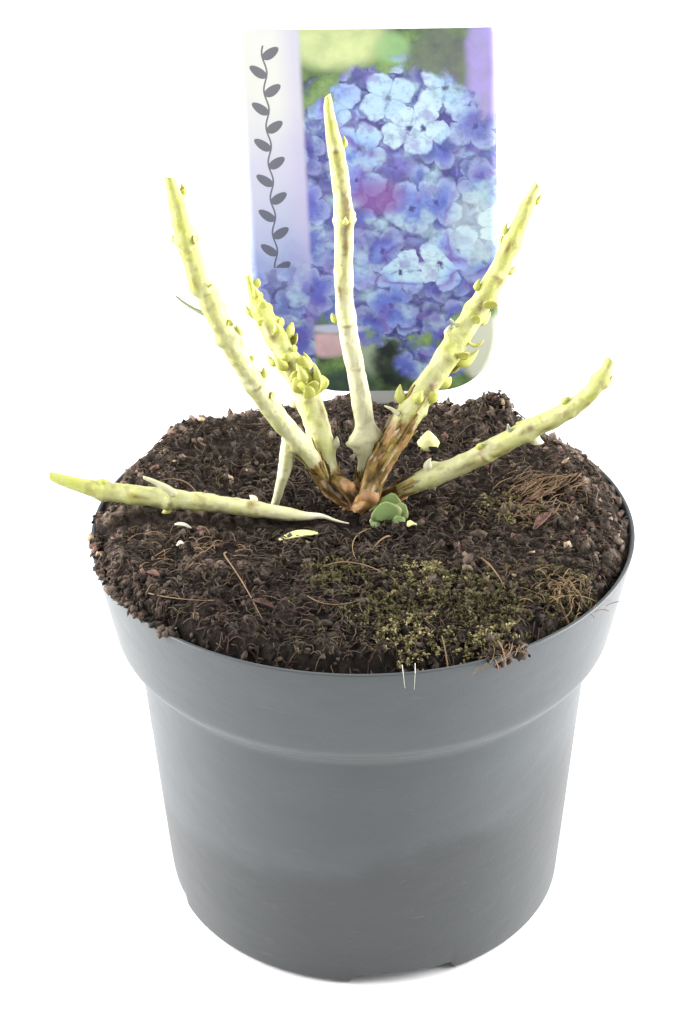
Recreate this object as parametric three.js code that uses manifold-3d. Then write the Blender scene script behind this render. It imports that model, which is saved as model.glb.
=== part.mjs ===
// A young hydrangea shrub in its round nursery pot, as sold in winter: bare canes spring from a short
// woody stool in a heaped fill of compost, and a picture label stands behind them on its spike.
// Millimetres, +Z up. The origin is the middle of the pot's flat underside; +Y is towards the label.
import * as THREE from 'three';
import { mergeVertices } from 'three/addons/utils/BufferGeometryUtils.js';
import Module from 'manifold-3d';

const wasm = await Module();
wasm.setup();

// ---- Driving dimensions ----
const GAP = 0.3; // left between neighbouring solids
const ROUND_SEGMENTS = 64;

const POT = {
  rimRadius: 95,
  height: 148,
  wall: 1.5,
  collarRadius: 88, // at the collar's lower edge
  collarBottom: 111,
  shoulderRadius: 81, // where the body comes out under the collar
  shoulderBottom: 105,
  footRadius: 73.5,
  footChamfer: 1.2,
  footRingWidth: 5.5,
  channelHeight: 4, // the raised drain channel between the middle pad and the foot ring
  padRadius: 30,
  padSlope: 3,
};
// Arched notches through the foot ring, and drain holes in the channel. The first of each has this bearing.
const FIRST_NOTCH = -79;
const NOTCH = { count: 4, width: 40, height: 3.6, corner: 3, below: 1, reach: 22 };
const DRAIN = { count: 8, radius: 4.5, circle: 50, sides: 20, reach: 20 };

const COMPOST = {
  level: 151.2, // round the stool
  edgeLevel: 147, // at the pot wall
  edgeRound: 9, // width of the rounded shoulder at the wall
  edgeInset: 0.7, // how far the top's edge stays inside the wall
  wallTop: 143, // the height up to which it lies against the wall
  rings: 12,
  ringCrowding: 0.85, // under 1, the rings lie closer together towards the wall
  heapAtWall: 0.7, // share of a heap's height that is left at the wall
};
// Fine unevenness: heights and lengths of two crossed waves and of a slanting one.
const RIPPLE = { crossed: 0.8, acrossX: 7.3, acrossY: 6.1, slanted: 0.5, slant: 4.7 };
// Heaps on the compost: where they lie, how wide and how high they are.
const HEAPS = [
  { azimuth: 140, out: 82, spread: 20, height: 11 },
  { azimuth: 120, out: 68, spread: 24, height: 7 },
  { azimuth: 168, out: 82, spread: 18, height: 4 },
  { azimuth: 55, out: 84, spread: 14, height: 11 },
  { azimuth: 86, out: 84, spread: 30, height: 7 },
  { azimuth: 20, out: 78, spread: 26, height: 5.5 },
  { azimuth: -75, out: 48, spread: 26, height: 2.5 },
  { azimuth: -135, out: 74, spread: 26, height: 3 },
];

const STOOL = {
  heart: [-4, 4.5, 151.5],
  cutLevel: 149.4, // the flat cut at ground level
  trunkRadius: 5.6,
  trunkFlare: 1.3,
  trunkHeight: 8,
  armRadius: 4.2,
  armCollar: 0.5, // how much wider an arm's end is than the foot it carries
};

// Each cane: where its foot is and how long it is, and its radii, climbs and bearings at even stations
// from foot to tip. rise is the climb above level and azimuth the bearing from +X, both in degrees.
const CANES = {
  cane_left_inner: {
    foot: [-9.8, 4.2, 162.6], length: 72,
    radius: [3.6, 3.9, 4.3, 3.6, 2.7], rise: [61, 62, 43, 62], azimuth: [126, 140],
  },
  cane_left_tall: {
    foot: [-14, 2.9, 165], length: 130.2,
    radius: [2.9, 3.2, 3.6, 3.5, 2.3], rise: [60, 59, 66, 72, 81], azimuth: [200, 222],
  },
  cane_right_tall: {
    foot: [3.7, 1.9, 162.6], length: 116.6,
    radius: [4, 4, 3.8, 3.1, 2.1], rise: [65, 54, 49, 61, 61], azimuth: [22, 35],
  },
  cane_centre_tall: {
    foot: [0.4, 9, 160.3], length: 134.1,
    radius: [3.2, 3.1, 3.1, 2.9, 2.3], rise: [104, 77, 80, 93, 83, 74], azimuth: [156, 136],
  },
  cane_right_low: {
    foot: [12.9, 3.9, 158.1], length: 91.9,
    radius: [3.1, 3.4, 3.4, 3.1, 2], rise: [23, 33, 33, 37, 79], azimuth: [-6, -14],
  },
};
// A cane that was torn off the stool lies on the compost and over the rim; it starts as a thin heel.
const LYING_CANE = {
  foot: [-8.2, -6.9, 152.1], length: 100.9,
  radius: [1, 2.7, 3.3, 3.4, 3.5, 3.4, 2.2], rise: [10, 8, 7, 23], azimuth: [176, 181],
};
// A thin side shoot hangs from the tall left cane down to the compost.
const DROOPING_SHOOT = {
  foot: [-24.4, 0.3, 179.4], length: 25.5,
  radius: [2.1, 2, 1.5, 1.1], rise: [-71, -80], azimuth: [150, 140],
};
const CANE_SIDES = 10;
const CANE_STEP = 6; // length of one facet along a cane
const WALK_STEPS = 40;
const ARM_STEPS = 3;
const TRUNK_SIDES = 20;
const GROUND_BLOCK = 60; // a block that trims the stool off flat at its cut
const CANE_SEATING = 3.5; // how far a foot runs on into what carries it, before it is trimmed
const TIP_ROUNDING = 2.2; // length of a cane's rounded tip
const TIP_FACE = 0.6; // share of the tip's radius that its end face keeps

const LABEL = {
  width: 91,
  height: 137,
  thickness: 0.8,
  bottom: 161.5, // height of the card's lower edge
  middle: [4.5, 76], // x and y of the lower edge's middle
  lean: 3.3, // degrees, backwards
  topCorner: 2,
  leftSweep: [31, 54], // width and height of the long curve at the lower left
  rightSweep: [22, 24],
  spikeWidth: 13,
  spikeLength: 62,
  spikePoint: 14,
};

// ---- Materials ----
const MATERIALS = {
  pot: new THREE.MeshStandardMaterial({ color: 0x6f7578, roughness: 0.42, metalness: 0 }),
  compost: new THREE.MeshStandardMaterial({ color: 0x3a2f29, roughness: 0.95, metalness: 0 }),
  bark: new THREE.MeshStandardMaterial({ color: 0x6b4428, roughness: 0.85, metalness: 0 }),
  cane: new THREE.MeshStandardMaterial({ color: 0xc9cc85, roughness: 0.6, metalness: 0 }),
  label: new THREE.MeshStandardMaterial({ color: 0x8a8fd6, roughness: 0.3, metalness: 0 }),
};

// ---- Solids: closed geometries, joined and cut ----
function solidOf(geometry) {
  const bare = new THREE.BufferGeometry();
  bare.setAttribute('position', geometry.getAttribute('position'));
  if (geometry.index) bare.setIndex(geometry.index);
  const merged = mergeVertices(bare, 1e-4);
  const triangles = [];
  const index = merged.index.array;
  for (let i = 0; i < index.length; i += 3) {
    const [a, b, c] = index.subarray(i, i + 3);
    if (a !== b && b !== c && a !== c) triangles.push(a, b, c);
  }
  return new wasm.Manifold(new wasm.Mesh({
    numProp: 3,
    vertProperties: new Float32Array(merged.attributes.position.array),
    triVerts: new Uint32Array(triangles),
  }));
}

function geometryOf(solid) {
  const mesh = solid.getMesh();
  const geometry = new THREE.BufferGeometry();
  geometry.setAttribute('position', new THREE.BufferAttribute(mesh.vertProperties, 3));
  geometry.setIndex(new THREE.BufferAttribute(mesh.triVerts, 1));
  const faceted = geometry.toNonIndexed();
  faceted.computeVertexNormals();
  return faceted;
}

const join = (first, ...others) => others.reduce((whole, other) => whole.add(other), first);

// The solid less its cutters. Slivers that a cut leaves loose are dropped.
function cut(solid, ...cutters) {
  const pieces = cutters.reduce((left, cutter) => left.subtract(cutter), solid).decompose();
  return pieces.reduce((largest, piece) => (piece.volume() > largest.volume() ? piece : largest));
}

// A lathed solid about +Z, from [radius, height] pairs that start and end on the axis, bottom first.
function turned(profile, segments = ROUND_SEGMENTS) {
  const points = profile.map(([radius, height]) => new THREE.Vector2(radius, height));
  return new THREE.LatheGeometry(points, segments).rotateX(Math.PI / 2);
}

// ---- Pot ----
// The pot's inner surface from the middle of its floor up to its rim; inset moves it inwards.
function innerProfile(inset) {
  const { wall, channelHeight, padRadius, padSlope, footRadius, footChamfer } = POT;
  const channelTop = channelHeight + wall + inset;
  return [
    [0, wall + inset],
    [padRadius - inset, wall + inset],
    [padRadius + padSlope - inset, channelTop],
    [footRadius + footChamfer - wall - inset, channelTop],
    [POT.shoulderRadius - wall - inset, POT.shoulderBottom],
    [POT.collarRadius - wall - inset, POT.collarBottom],
    [POT.rimRadius - wall - inset, POT.height],
  ];
}

function outerProfile() {
  const { channelHeight, padRadius, padSlope, footRadius, footChamfer, footRingWidth } = POT;
  const ringInside = footRadius - footRingWidth;
  return [
    [0, 0],
    [padRadius, 0],
    [padRadius + padSlope, channelHeight],
    [ringInside - padSlope / 2, channelHeight],
    [ringInside, 0],
    [footRadius - footChamfer, 0],
    [footRadius, footChamfer],
    [POT.shoulderRadius, POT.shoulderBottom],
    [POT.collarRadius, POT.collarBottom],
    [POT.rimRadius, POT.height],
  ];
}

// An arch outline lying in X and Z, pushed through the foot ring along Y and turned to its bearing.
function footNotch(azimuth) {
  const { width, height, corner, below, reach } = NOTCH;
  const outline = new THREE.Shape();
  outline.moveTo(-width / 2, -below);
  outline.lineTo(width / 2, -below);
  outline.lineTo(width / 2, height - corner);
  outline.quadraticCurveTo(width / 2, height, width / 2 - corner, height);
  outline.lineTo(-width / 2 + corner, height);
  outline.quadraticCurveTo(-width / 2, height, -width / 2, height - corner);
  outline.closePath();
  const geometry = new THREE.ExtrudeGeometry(outline, { depth: reach, bevelEnabled: false });
  geometry.rotateX(Math.PI / 2).translate(0, POT.footRadius + reach / 2, 0);
  geometry.rotateZ(THREE.MathUtils.degToRad(azimuth - 90));
  return solidOf(geometry);
}

function drainHole(azimuth) {
  const { radius, circle, sides, reach } = DRAIN;
  const hole = new THREE.CylinderGeometry(radius, radius, reach, sides).rotateX(Math.PI / 2);
  const bearing = THREE.MathUtils.degToRad(azimuth);
  return solidOf(hole.translate(circle * Math.cos(bearing), circle * Math.sin(bearing), 0));
}

function potSolid() {
  const shell = solidOf(turned([...outerProfile(), ...innerProfile(0).reverse()]));
  const notches = Array.from({ length: NOTCH.count }, (_, i) =>
    footNotch(FIRST_NOTCH + (360 / NOTCH.count) * i));
  const holes = Array.from({ length: DRAIN.count }, (_, i) =>
    drainHole(FIRST_NOTCH + (360 / DRAIN.count) * i));
  return cut(shell, ...notches, ...holes);
}

// ---- Compost ----
const compostEdge = POT.rimRadius - POT.wall - GAP - COMPOST.edgeInset;

// The height of the compost over a point: a low dome that rounds down at the wall, and its heaps.
function compostHeight(x, y) {
  const shoulder = THREE.MathUtils.smoothstep(compostEdge - Math.hypot(x, y), 0, COMPOST.edgeRound);
  const heaps = HEAPS.reduce((sum, { azimuth, out, spread, height }) => {
    const bearing = THREE.MathUtils.degToRad(azimuth);
    const away = Math.hypot(x - out * Math.cos(bearing), y - out * Math.sin(bearing)) / spread;
    return sum + height * Math.exp(-away * away);
  }, 0);
  const ripple = RIPPLE.crossed * Math.sin(x / RIPPLE.acrossX + 1) * Math.cos(y / RIPPLE.acrossY)
    + RIPPLE.slanted * Math.sin((x - y) / RIPPLE.slant);
  const { level, edgeLevel, heapAtWall } = COMPOST;
  const kept = THREE.MathUtils.lerp(heapAtWall, 1, shoulder);
  return THREE.MathUtils.lerp(edgeLevel, level, shoulder) + heaps * kept + ripple;
}

// The compost: the pot's inner profile up to its wall top, closed by rings at the height over each place.
function compostSolid() {
  const sides = innerProfile(GAP).filter(([, height]) => height < POT.height);
  const [low, high] = innerProfile(GAP).slice(-2);
  const share = (COMPOST.wallTop - low[1]) / (high[1] - low[1]);
  sides.push([THREE.MathUtils.lerp(low[0], high[0], share), COMPOST.wallTop]);
  const top = Array.from({ length: COMPOST.rings + 1 }, (_, i) =>
    [compostEdge * (1 - i / COMPOST.rings) ** COMPOST.ringCrowding, POT.height]);
  const geometry = turned([...sides, ...top]);
  const position = geometry.getAttribute('position');
  for (let i = 0; i < position.count; i += 1) {
    if (position.getZ(i) > POT.height - GAP) {
      position.setZ(i, compostHeight(position.getX(i), position.getY(i)));
    }
  }
  return solidOf(geometry);
}

// ---- Canes ----
// The value a share of the way along a list of evenly spaced stations.
function along(stations, share) {
  const place = THREE.MathUtils.clamp(share, 0, 1) * (stations.length - 1);
  const first = Math.min(Math.floor(place), stations.length - 2);
  return THREE.MathUtils.lerp(stations[first], stations[first + 1], place - first);
}

// The unit vector that climbs by rise above level on a bearing of azimuth, both in degrees.
function heading(rise, azimuth) {
  const [climb, bearing] = [THREE.MathUtils.degToRad(rise), THREE.MathUtils.degToRad(azimuth)];
  return new THREE.Vector3(
    Math.cos(climb) * Math.cos(bearing),
    Math.cos(climb) * Math.sin(bearing),
    Math.sin(climb),
  );
}

// A cane's middle line, walked from the foot in short steps along the heading at each place.
// It starts a little way back, inside what carries it, and grown lengthens it at both ends.
function middleLine({ foot, length, rise, azimuth }, grown) {
  const headingAt = (share) => heading(along(rise, share), along(azimuth, share));
  const place = new THREE.Vector3(...foot);
  const points = [place.clone().addScaledVector(headingAt(0), -CANE_SEATING - grown), place.clone()];
  for (let i = 0; i < WALK_STEPS; i += 1) {
    place.addScaledVector(headingAt((i + 0.5) / WALK_STEPS), length / WALK_STEPS);
    points.push(place.clone());
  }
  points.at(-1).addScaledVector(headingAt(1), grown);
  return new THREE.CatmullRomCurve3(points);
}

// A closed tapering limb: a capped cylinder whose rings are carried along a curve.
function limb(curve, radiusAt, steps) {
  const geometry = new THREE.CylinderGeometry(1, 1, 1, CANE_SIDES, steps);
  const frames = curve.computeFrenetFrames(steps, false);
  const position = geometry.getAttribute('position');
  for (let i = 0; i < position.count; i += 1) {
    const ring = Math.round((position.getY(i) + 0.5) * steps);
    const radius = radiusAt(ring / steps);
    const placed = curve.getPointAt(ring / steps)
      .addScaledVector(frames.normals[ring], position.getX(i) * radius)
      .addScaledVector(frames.binormals[ring], -position.getZ(i) * radius);
    position.setXYZ(i, placed.x, placed.y, placed.z);
  }
  return solidOf(geometry);
}

function caneSolid(cane, grown = 0) {
  const whole = cane.length + CANE_SEATING + 2 * grown;
  const radiusAt = (share) => {
    const left = Math.min(whole * (1 - share) / TIP_ROUNDING, 1);
    const rounding = THREE.MathUtils.lerp(TIP_FACE, 1, Math.sqrt(1 - (1 - left) ** 2));
    return along(cane.radius, (share * whole - CANE_SEATING - grown) / cane.length) * rounding + grown;
  };
  return limb(middleLine(cane, grown), radiusAt, Math.round(whole / CANE_STEP));
}

// ---- Stool ----
// The woody stool: a short trunk that flares to its flat cut, with one arm out to each cane's foot.
function stoolSolid(grown = 0) {
  const { heart, cutLevel, trunkRadius, trunkFlare, trunkHeight, armRadius, armCollar } = STOOL;
  const arm = ({ foot, radius }) => {
    const [start, end] = [new THREE.Vector3(...heart), new THREE.Vector3(...foot)];
    end.addScaledVector(end.clone().sub(start).normalize(), grown);
    const girth = [armRadius + grown, radius[0] + armCollar + grown];
    return limb(new THREE.LineCurve3(start, end), (share) => along(girth, share), ARM_STEPS);
  };
  const foot = cutLevel - grown;
  const top = cutLevel + trunkHeight + grown;
  const trunk = turned([
    [0, foot - trunkHeight],
    [trunkRadius + trunkFlare + grown, foot - trunkHeight],
    [trunkRadius + trunkFlare + grown, cutLevel],
    [trunkRadius + grown, cutLevel + trunkHeight * 0.35],
    [trunkRadius * 0.85 + grown, cutLevel + trunkHeight * 0.8],
    [trunkRadius * 0.4 + grown, top],
    [0, top],
  ], TRUNK_SIDES).translate(heart[0], heart[1], 0);
  const whole = join(solidOf(trunk), ...Object.values(CANES).map(arm));
  const ground = new THREE.BoxGeometry(GROUND_BLOCK, GROUND_BLOCK, GROUND_BLOCK);
  return cut(whole, solidOf(ground.translate(heart[0], heart[1], foot - GROUND_BLOCK / 2)));
}

// ---- Label ----
// The card's outline, with its lower edge at Y 0 and its spike below; grown widens it all round.
// Each lower corner is a quarter of an ellipse.
function labelOutline(grown) {
  const { width, height, topCorner, spikeWidth, spikeLength, spikePoint } = LABEL;
  const [left, right, top, bottom] = [-width / 2 - grown, width / 2 + grown, height + grown, -grown];
  const spike = spikeWidth / 2 + grown;
  const [leftAcross, leftUp] = LABEL.leftSweep;
  const [rightAcross, rightUp] = LABEL.rightSweep;
  const outline = new THREE.Shape();
  outline.moveTo(left, top - topCorner);
  outline.lineTo(left, bottom + leftUp);
  outline.absellipse(left + leftAcross, bottom + leftUp, leftAcross, leftUp, Math.PI, 1.5 * Math.PI);
  outline.lineTo(-spike, bottom);
  outline.lineTo(-spike, spikePoint - spikeLength);
  outline.lineTo(0, -spikeLength - 2 * grown);
  outline.lineTo(spike, spikePoint - spikeLength);
  outline.lineTo(spike, bottom);
  outline.lineTo(right - rightAcross, bottom);
  outline.absellipse(right - rightAcross, bottom + rightUp, rightAcross, rightUp, 1.5 * Math.PI, 2 * Math.PI);
  outline.lineTo(right, top - topCorner);
  outline.quadraticCurveTo(right, top, right - topCorner, top);
  outline.lineTo(left + topCorner, top);
  outline.quadraticCurveTo(left, top, left, top - topCorner);
  return outline;
}

function labelSolid(grown = 0) {
  const depth = LABEL.thickness + 2 * grown;
  const options = { depth, bevelEnabled: false, curveSegments: 10 };
  const geometry = new THREE.ExtrudeGeometry(labelOutline(grown), options).translate(0, 0, -depth / 2);
  geometry.rotateX(Math.PI / 2 - THREE.MathUtils.degToRad(LABEL.lean));
  return solidOf(geometry.translate(LABEL.middle[0], LABEL.middle[1], LABEL.bottom));
}

// ---- Assembly ----
const plant = new THREE.Group();

function addNode(name, solid, material) {
  const mesh = new THREE.Mesh(geometryOf(solid), material);
  mesh.name = name;
  plant.add(mesh);
}

addNode('pot', potSolid(), MATERIALS.pot);
addNode('stool', stoolSolid(), MATERIALS.bark);
addNode('label', labelSolid(), MATERIALS.label);

// Each cane is trimmed to the stool and to the canes before it, and the compost to all of them.
const carriers = [stoolSolid(GAP)];
for (const [name, cane] of Object.entries({
  ...CANES,
  cane_lying_left: LYING_CANE,
  shoot_drooping: DROOPING_SHOOT,
})) {
  addNode(name, cut(caneSolid(cane), ...carriers), MATERIALS.cane);
  carriers.push(caneSolid(cane, GAP));
}
addNode('compost', cut(compostSolid(), ...carriers, labelSolid(GAP)), MATERIALS.compost);

export default plant;
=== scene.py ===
"""A potted hydrangea, pruned hard and just coming into bud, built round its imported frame.

The frame says where the pot, the compost, the stool, the canes and the picture label are. Each operator
makes one piece, or one group of like pieces, as surfaces worked out with numpy: a function of two
parameters on a grid, or a ring carried along a path. Lengths are in metres, and MM turns millimetres into
metres. X runs to the right, Y to the back and Z up, and a bearing is counted from +X towards +Y."""

import math

import bpy
import numpy as np
from bpy.props import FloatProperty, FloatVectorProperty, IntProperty, PointerProperty
from mathutils import Matrix, Vector


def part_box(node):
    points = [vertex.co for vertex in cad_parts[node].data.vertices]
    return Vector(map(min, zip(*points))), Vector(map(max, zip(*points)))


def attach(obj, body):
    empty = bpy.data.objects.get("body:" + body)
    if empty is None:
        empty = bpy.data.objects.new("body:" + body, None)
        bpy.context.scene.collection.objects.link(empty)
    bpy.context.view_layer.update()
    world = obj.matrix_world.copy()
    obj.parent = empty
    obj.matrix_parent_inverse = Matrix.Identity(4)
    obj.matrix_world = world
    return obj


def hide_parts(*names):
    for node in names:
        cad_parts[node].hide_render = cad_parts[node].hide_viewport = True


bl_info = {
    "name": "Potted hydrangea",
    "version": (1, 0, 0),
    "blender": (4, 5, 0),
    "location": "View3D > Sidebar > Hydrangea",
    "description": "Builds a pruned hydrangea in its nursery pot round a packed frame",
    "category": "Add Mesh",
}

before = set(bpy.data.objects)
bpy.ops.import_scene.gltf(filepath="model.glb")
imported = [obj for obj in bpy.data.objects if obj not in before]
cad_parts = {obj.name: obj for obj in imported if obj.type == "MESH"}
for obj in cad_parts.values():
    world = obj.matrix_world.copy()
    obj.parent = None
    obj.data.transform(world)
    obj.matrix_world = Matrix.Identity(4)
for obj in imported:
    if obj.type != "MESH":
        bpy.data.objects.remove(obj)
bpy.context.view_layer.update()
RIM_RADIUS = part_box("pot")[1].x
RIM_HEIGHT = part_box("pot")[1].z

MM = 0.001
TURN = 2 * math.pi
UP = np.array([0.0, 0.0, 1.0])
TOWARDS_FRONT = np.array([0.0, -1.0, 0.0])
SEEDS = {"crumbs": 404, "fibres": 808, "moss": 1212, "buds": 77, "flakes": 55, "litter": 909}


# ---- Settings ----


def length(name, default, description):
    """A length property in metres."""
    return FloatProperty(
        name=name, default=default, description=description, unit="LENGTH", subtype="DISTANCE", precision=5
    )


def colour(name, default, description):
    """A colour property, in linear light."""
    return FloatVectorProperty(
        name=name, default=default, description=description, subtype="COLOR", size=3, min=0.0, max=1.0
    )


def lengths(name, default, description):
    """Several lengths in one property, in metres."""
    return FloatVectorProperty(
        name=name, default=default, description=description, size=len(default), unit="LENGTH"
    )


def angle(name, degrees, description):
    """An angle property, given here in degrees."""
    return FloatProperty(
        name=name, default=math.radians(degrees), description=description, subtype="ANGLE"
    )


def amount(name, default, description, high=10.0):
    """A plain number property."""
    return FloatProperty(name=name, default=default, description=description, min=0.0, max=high)


def count(name, default, description):
    """A whole number property."""
    return IntProperty(name=name, default=default, description=description, min=0)


class PotSettings(bpy.types.PropertyGroup):
    colour: colour("Plastic", (0.0350, 0.0408, 0.0447), "Colour of the grey plastic")
    # This colour serves both real scuffs and pale painted reflections streaking round the pot.
    scuff_and_reflection: colour("Scuff", (0.075, 0.081, 0.084), "Colour of rubbed places on the plastic")
    wall: length("Wall", 1.5 * MM, "Thickness of the wall")
    collar: length("Collar", 37 * MM, "Height of the flared collar under the rim")
    collar_radius: length("Collar radius", 88 * MM, "Outer radius at the collar's lower edge")
    shoulder: length("Shoulder", 6 * MM, "Height of the step between the collar and the body")
    shoulder_radius: length("Shoulder radius", 81 * MM, "Outer radius of the body under the step")
    foot_radius: length("Foot radius", 73.5 * MM, "Outer radius of the foot ring")
    ring: length("Foot ring", 5.5 * MM, "Width of the ring that the pot stands on")
    base_lift: length("Base lift", 4 * MM, "Height of the base between the ring and the middle pad")
    pad_radius: length("Pad radius", 30 * MM, "Radius of the middle pad")
    notch_width: length("Notch width", 40 * MM, "Width of each of the four notches in the foot ring")
    notch_height: length("Notch height", 3.6 * MM, "Height of the notches")
    notch_bearing: angle("Notch bearing", -79, "Bearing of the first notch")
    drain_radius: length("Drain hole", 4.5 * MM, "Radius of each of the eight drain holes")
    drain_circle: length("Drain circle", 50 * MM, "Radius of the circle that the drain holes lie on")


class CompostSettings(bpy.types.PropertyGroup):
    # dark: the colour of dark peat, and also of the painted shade in the heap's hollows.
    dark: colour("Dark peat", (0.0095, 0.0072, 0.0062), "Colour in the hollows of the compost")
    brown: colour("Brown peat", (0.047, 0.035, 0.0275), "Colour of the crumbs that stand out")
    red: colour("Red bark", (0.060, 0.033, 0.027), "Colour of the reddish bits of bark")
    tan: colour("Tan fibre", (0.170, 0.128, 0.085), "Colour of dry fibres and straw")
    moss: colour("Moss", (0.120, 0.104, 0.049), "Colour of the moss")
    relief: amount("Relief", 1.0, "How rough the surface is")
    crumbs: count("Crumbs", 3500, "How many loose crumbs lie on the surface")
    fibres: count("Fibres", 5400, "How many fibres lie on the surface")
    sprigs: count("Moss sprigs", 1150, "How many sprigs of moss grow in the patches")


class CaneSettings(bpy.types.PropertyGroup):
    cream: colour("Cream bark", (0.50, 0.485, 0.30), "Colour of the older bark")
    green: colour("Young bark", (0.38, 0.40, 0.068), "Colour of the younger, greener bark")
    # shade: the under side's colour, a painted shade with a green tint.
    shade: colour("Under side", (0.185, 0.188, 0.036), "Colour of the green under side")
    scar: colour("Scar", (0.135, 0.078, 0.026), "Colour of leaf scars and dead knots")
    wood: colour("Cut wood", (0.58, 0.55, 0.40), "Colour of cut wood and pith")
    bark: colour("Peeling bark", (0.205, 0.104, 0.037), "Colour of the red-brown bark at the foot")
    bud: colour("Bud", (0.37, 0.38, 0.052), "Colour of the swelling buds")
    relief: amount("Relief", 1.0, "How strongly nodes, scars and bumps stand out")


class LabelSettings(bpy.types.PropertyGroup):
    card_height: length("Card height", 137 * MM, "Height of the card without its spike")
    thickness: length("Thickness", 0.7 * MM, "Thickness of the card")
    bow: length("Bow", 1.1 * MM, "How far the middle of the card stands forward of its sides")
    corner: length("Corner", 2 * MM, "Radius of the top corners")
    left_sweep: lengths("Left sweep", (31 * MM, 54 * MM), "Width and height of the lower left curve")
    right_sweep: lengths("Right sweep", (22 * MM, 24 * MM), "Width and height of the lower right curve")
    spike_width: length("Spike width", 13 * MM, "Width of the spike in the compost")
    spike_point: length("Spike point", 14 * MM, "Length of the spike's pointed end")
    strip: amount("Strip", 0.245, "Share of the width that the plain strip takes", high=1.0)
    floret: length("Floret", 17 * MM, "Distance between the printed florets")


class StageSettings(bpy.types.PropertyGroup):
    floor: colour("Floor", (0.68, 0.68, 0.68), "Colour of the floor")
    camera_distance: length("Camera distance", 605 * MM, "How far the camera stands in front of the middle")
    camera_height: length("Camera height", 502 * MM, "Height of the camera above the floor")
    aim: lengths("Aim", (-7.7 * MM, 0.0, 153.4 * MM), "The point that the camera looks at")
    lean: angle("Lean", -0.8, "Turn of the camera about its own axis")
    lens: amount("Lens", 70.87, "Focal length in millimetres on a 36 mm sensor", high=1000.0)
    sky: amount("Sky", 0.66, "Strength of the even white light from all round")
    top: amount("Top light", 2.0, "Power of the soft box overhead, in watts", high=1000.0)
    side: amount("Side lights", 140.0, "Power of each soft box at the sides, in watts", high=1000.0)
    side_size: length("Side light size", 1600 * MM, "Width and height of each soft box at the sides")


GROUPS = {
    "hydrangea_pot": PotSettings,
    "hydrangea_compost": CompostSettings,
    "hydrangea_canes": CaneSettings,
    "hydrangea_label": LabelSettings,
    "hydrangea_stage": StageSettings,
}


# ---- Numbers ----


def blend(low, high, share):
    """low where share is 0, high where it is 1, and straight between."""
    return low + (high - low) * share


def ease(value, start, end):
    """0 before start, 1 after end, and between them 3 x^2 - 2 x^3 of the share x of the way."""
    share = np.clip((value - start) / (end - start), 0.0, 1.0)
    return share * share * (3 - 2 * share)


def hump(value, middle, width):
    """A bell of height 1: e to the minus square of the distance from the middle in widths."""
    return np.exp(-(((value - middle) / width) ** 2))


def unit(vectors):
    """Each vector divided by its own length."""
    return vectors / np.maximum(np.linalg.norm(vectors, axis=-1, keepdims=True), 1e-12)


def angle_apart(a, b):
    """The shortest turn between two angles, from 0 to half a turn."""
    return np.abs((a - b + math.pi) % TURN - math.pi)


NOISE_TABLE = 4096
NOISE_PRIMES = np.array([73856093, 19349663, 83492791])
OCTAVE_HEIGHT = 0.55
NOISE_SHIFT = 731.0  # keeps the folds of the table away from the plant


def noise(points, size, seed):
    """Smooth noise from -1 to 1: random numbers at the corners of cubes of the given size, each weighted
    by how near the point lies to its corner, with an eased weight along each axis."""
    table = np.random.default_rng(seed).uniform(-1.0, 1.0, NOISE_TABLE)
    place = np.asarray(points) / size + NOISE_SHIFT
    cell = np.floor(place).astype(np.int64)
    near = ease(place - cell, 0.0, 1.0)
    total = 0.0
    for corner in np.ndindex(2, 2, 2):
        at = cell + corner
        key = np.bitwise_xor.reduce(at * NOISE_PRIMES, axis=-1) % NOISE_TABLE
        total = total + np.prod(np.where(corner, near, 1.0 - near), axis=-1) * table[key]
    return total


def rough(points, size, seed, octaves=3):
    """Noise added to finer noise: each octave has half the size of the last and a fixed share of its
    height."""
    heights = [OCTAVE_HEIGHT**k for k in range(octaves)]
    parts = [height * noise(points, size / 2**k, seed + k) for k, height in enumerate(heights)]
    return sum(parts) / sum(heights)


def bent(start, bend, end, t):
    """The quadratic curve from start to end that leaves for, and comes from, the bend."""
    return (1 - t) ** 2 * start + 2 * t * (1 - t) * bend + t**2 * end


def points_at(x, y, z=0.0):
    """Points from their coordinates."""
    return np.stack(np.broadcast_arrays(x, y, z), axis=-1)


def circle(radius, bearing, z=0.0):
    """Points at a radius and a bearing round the Z axis."""
    return points_at(radius * np.cos(bearing), radius * np.sin(bearing), z)


# ---- Surfaces ----


class Shell:
    """Some vertices, the faces between them (arrays of corner numbers) and marks, one number for each
    vertex."""

    def __init__(self, points, faces, **marks):
        self.points = np.asarray(points, float).reshape(-1, 3)
        self.faces = [np.asarray(f, np.int64) for f in faces if len(f)]
        self.marks = {name: np.asarray(mark, float).reshape(-1) for name, mark in marks.items()}


def numbered(rows, columns):
    """The vertex numbers of a grid, row by row."""
    return np.arange(rows * columns).reshape(rows, columns)


def grid_quads(index, closed=False):
    """The quads between the rows and columns of a grid of vertex numbers; closed joins the last column to
    the first. They face the way that columns x rows point."""
    if closed:
        index = np.concatenate([index, index[:, :1]], axis=1)
    a, b, c, d = index[:-1, :-1], index[:-1, 1:], index[1:, 1:], index[1:, :-1]
    return np.stack([a, b, c, d], axis=-1).reshape(-1, 4)


def belt(rings):
    """The band of quads from each closed ring to the next."""
    return Shell(rings, [grid_quads(numbered(*rings.shape[:2]), closed=True)])


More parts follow.
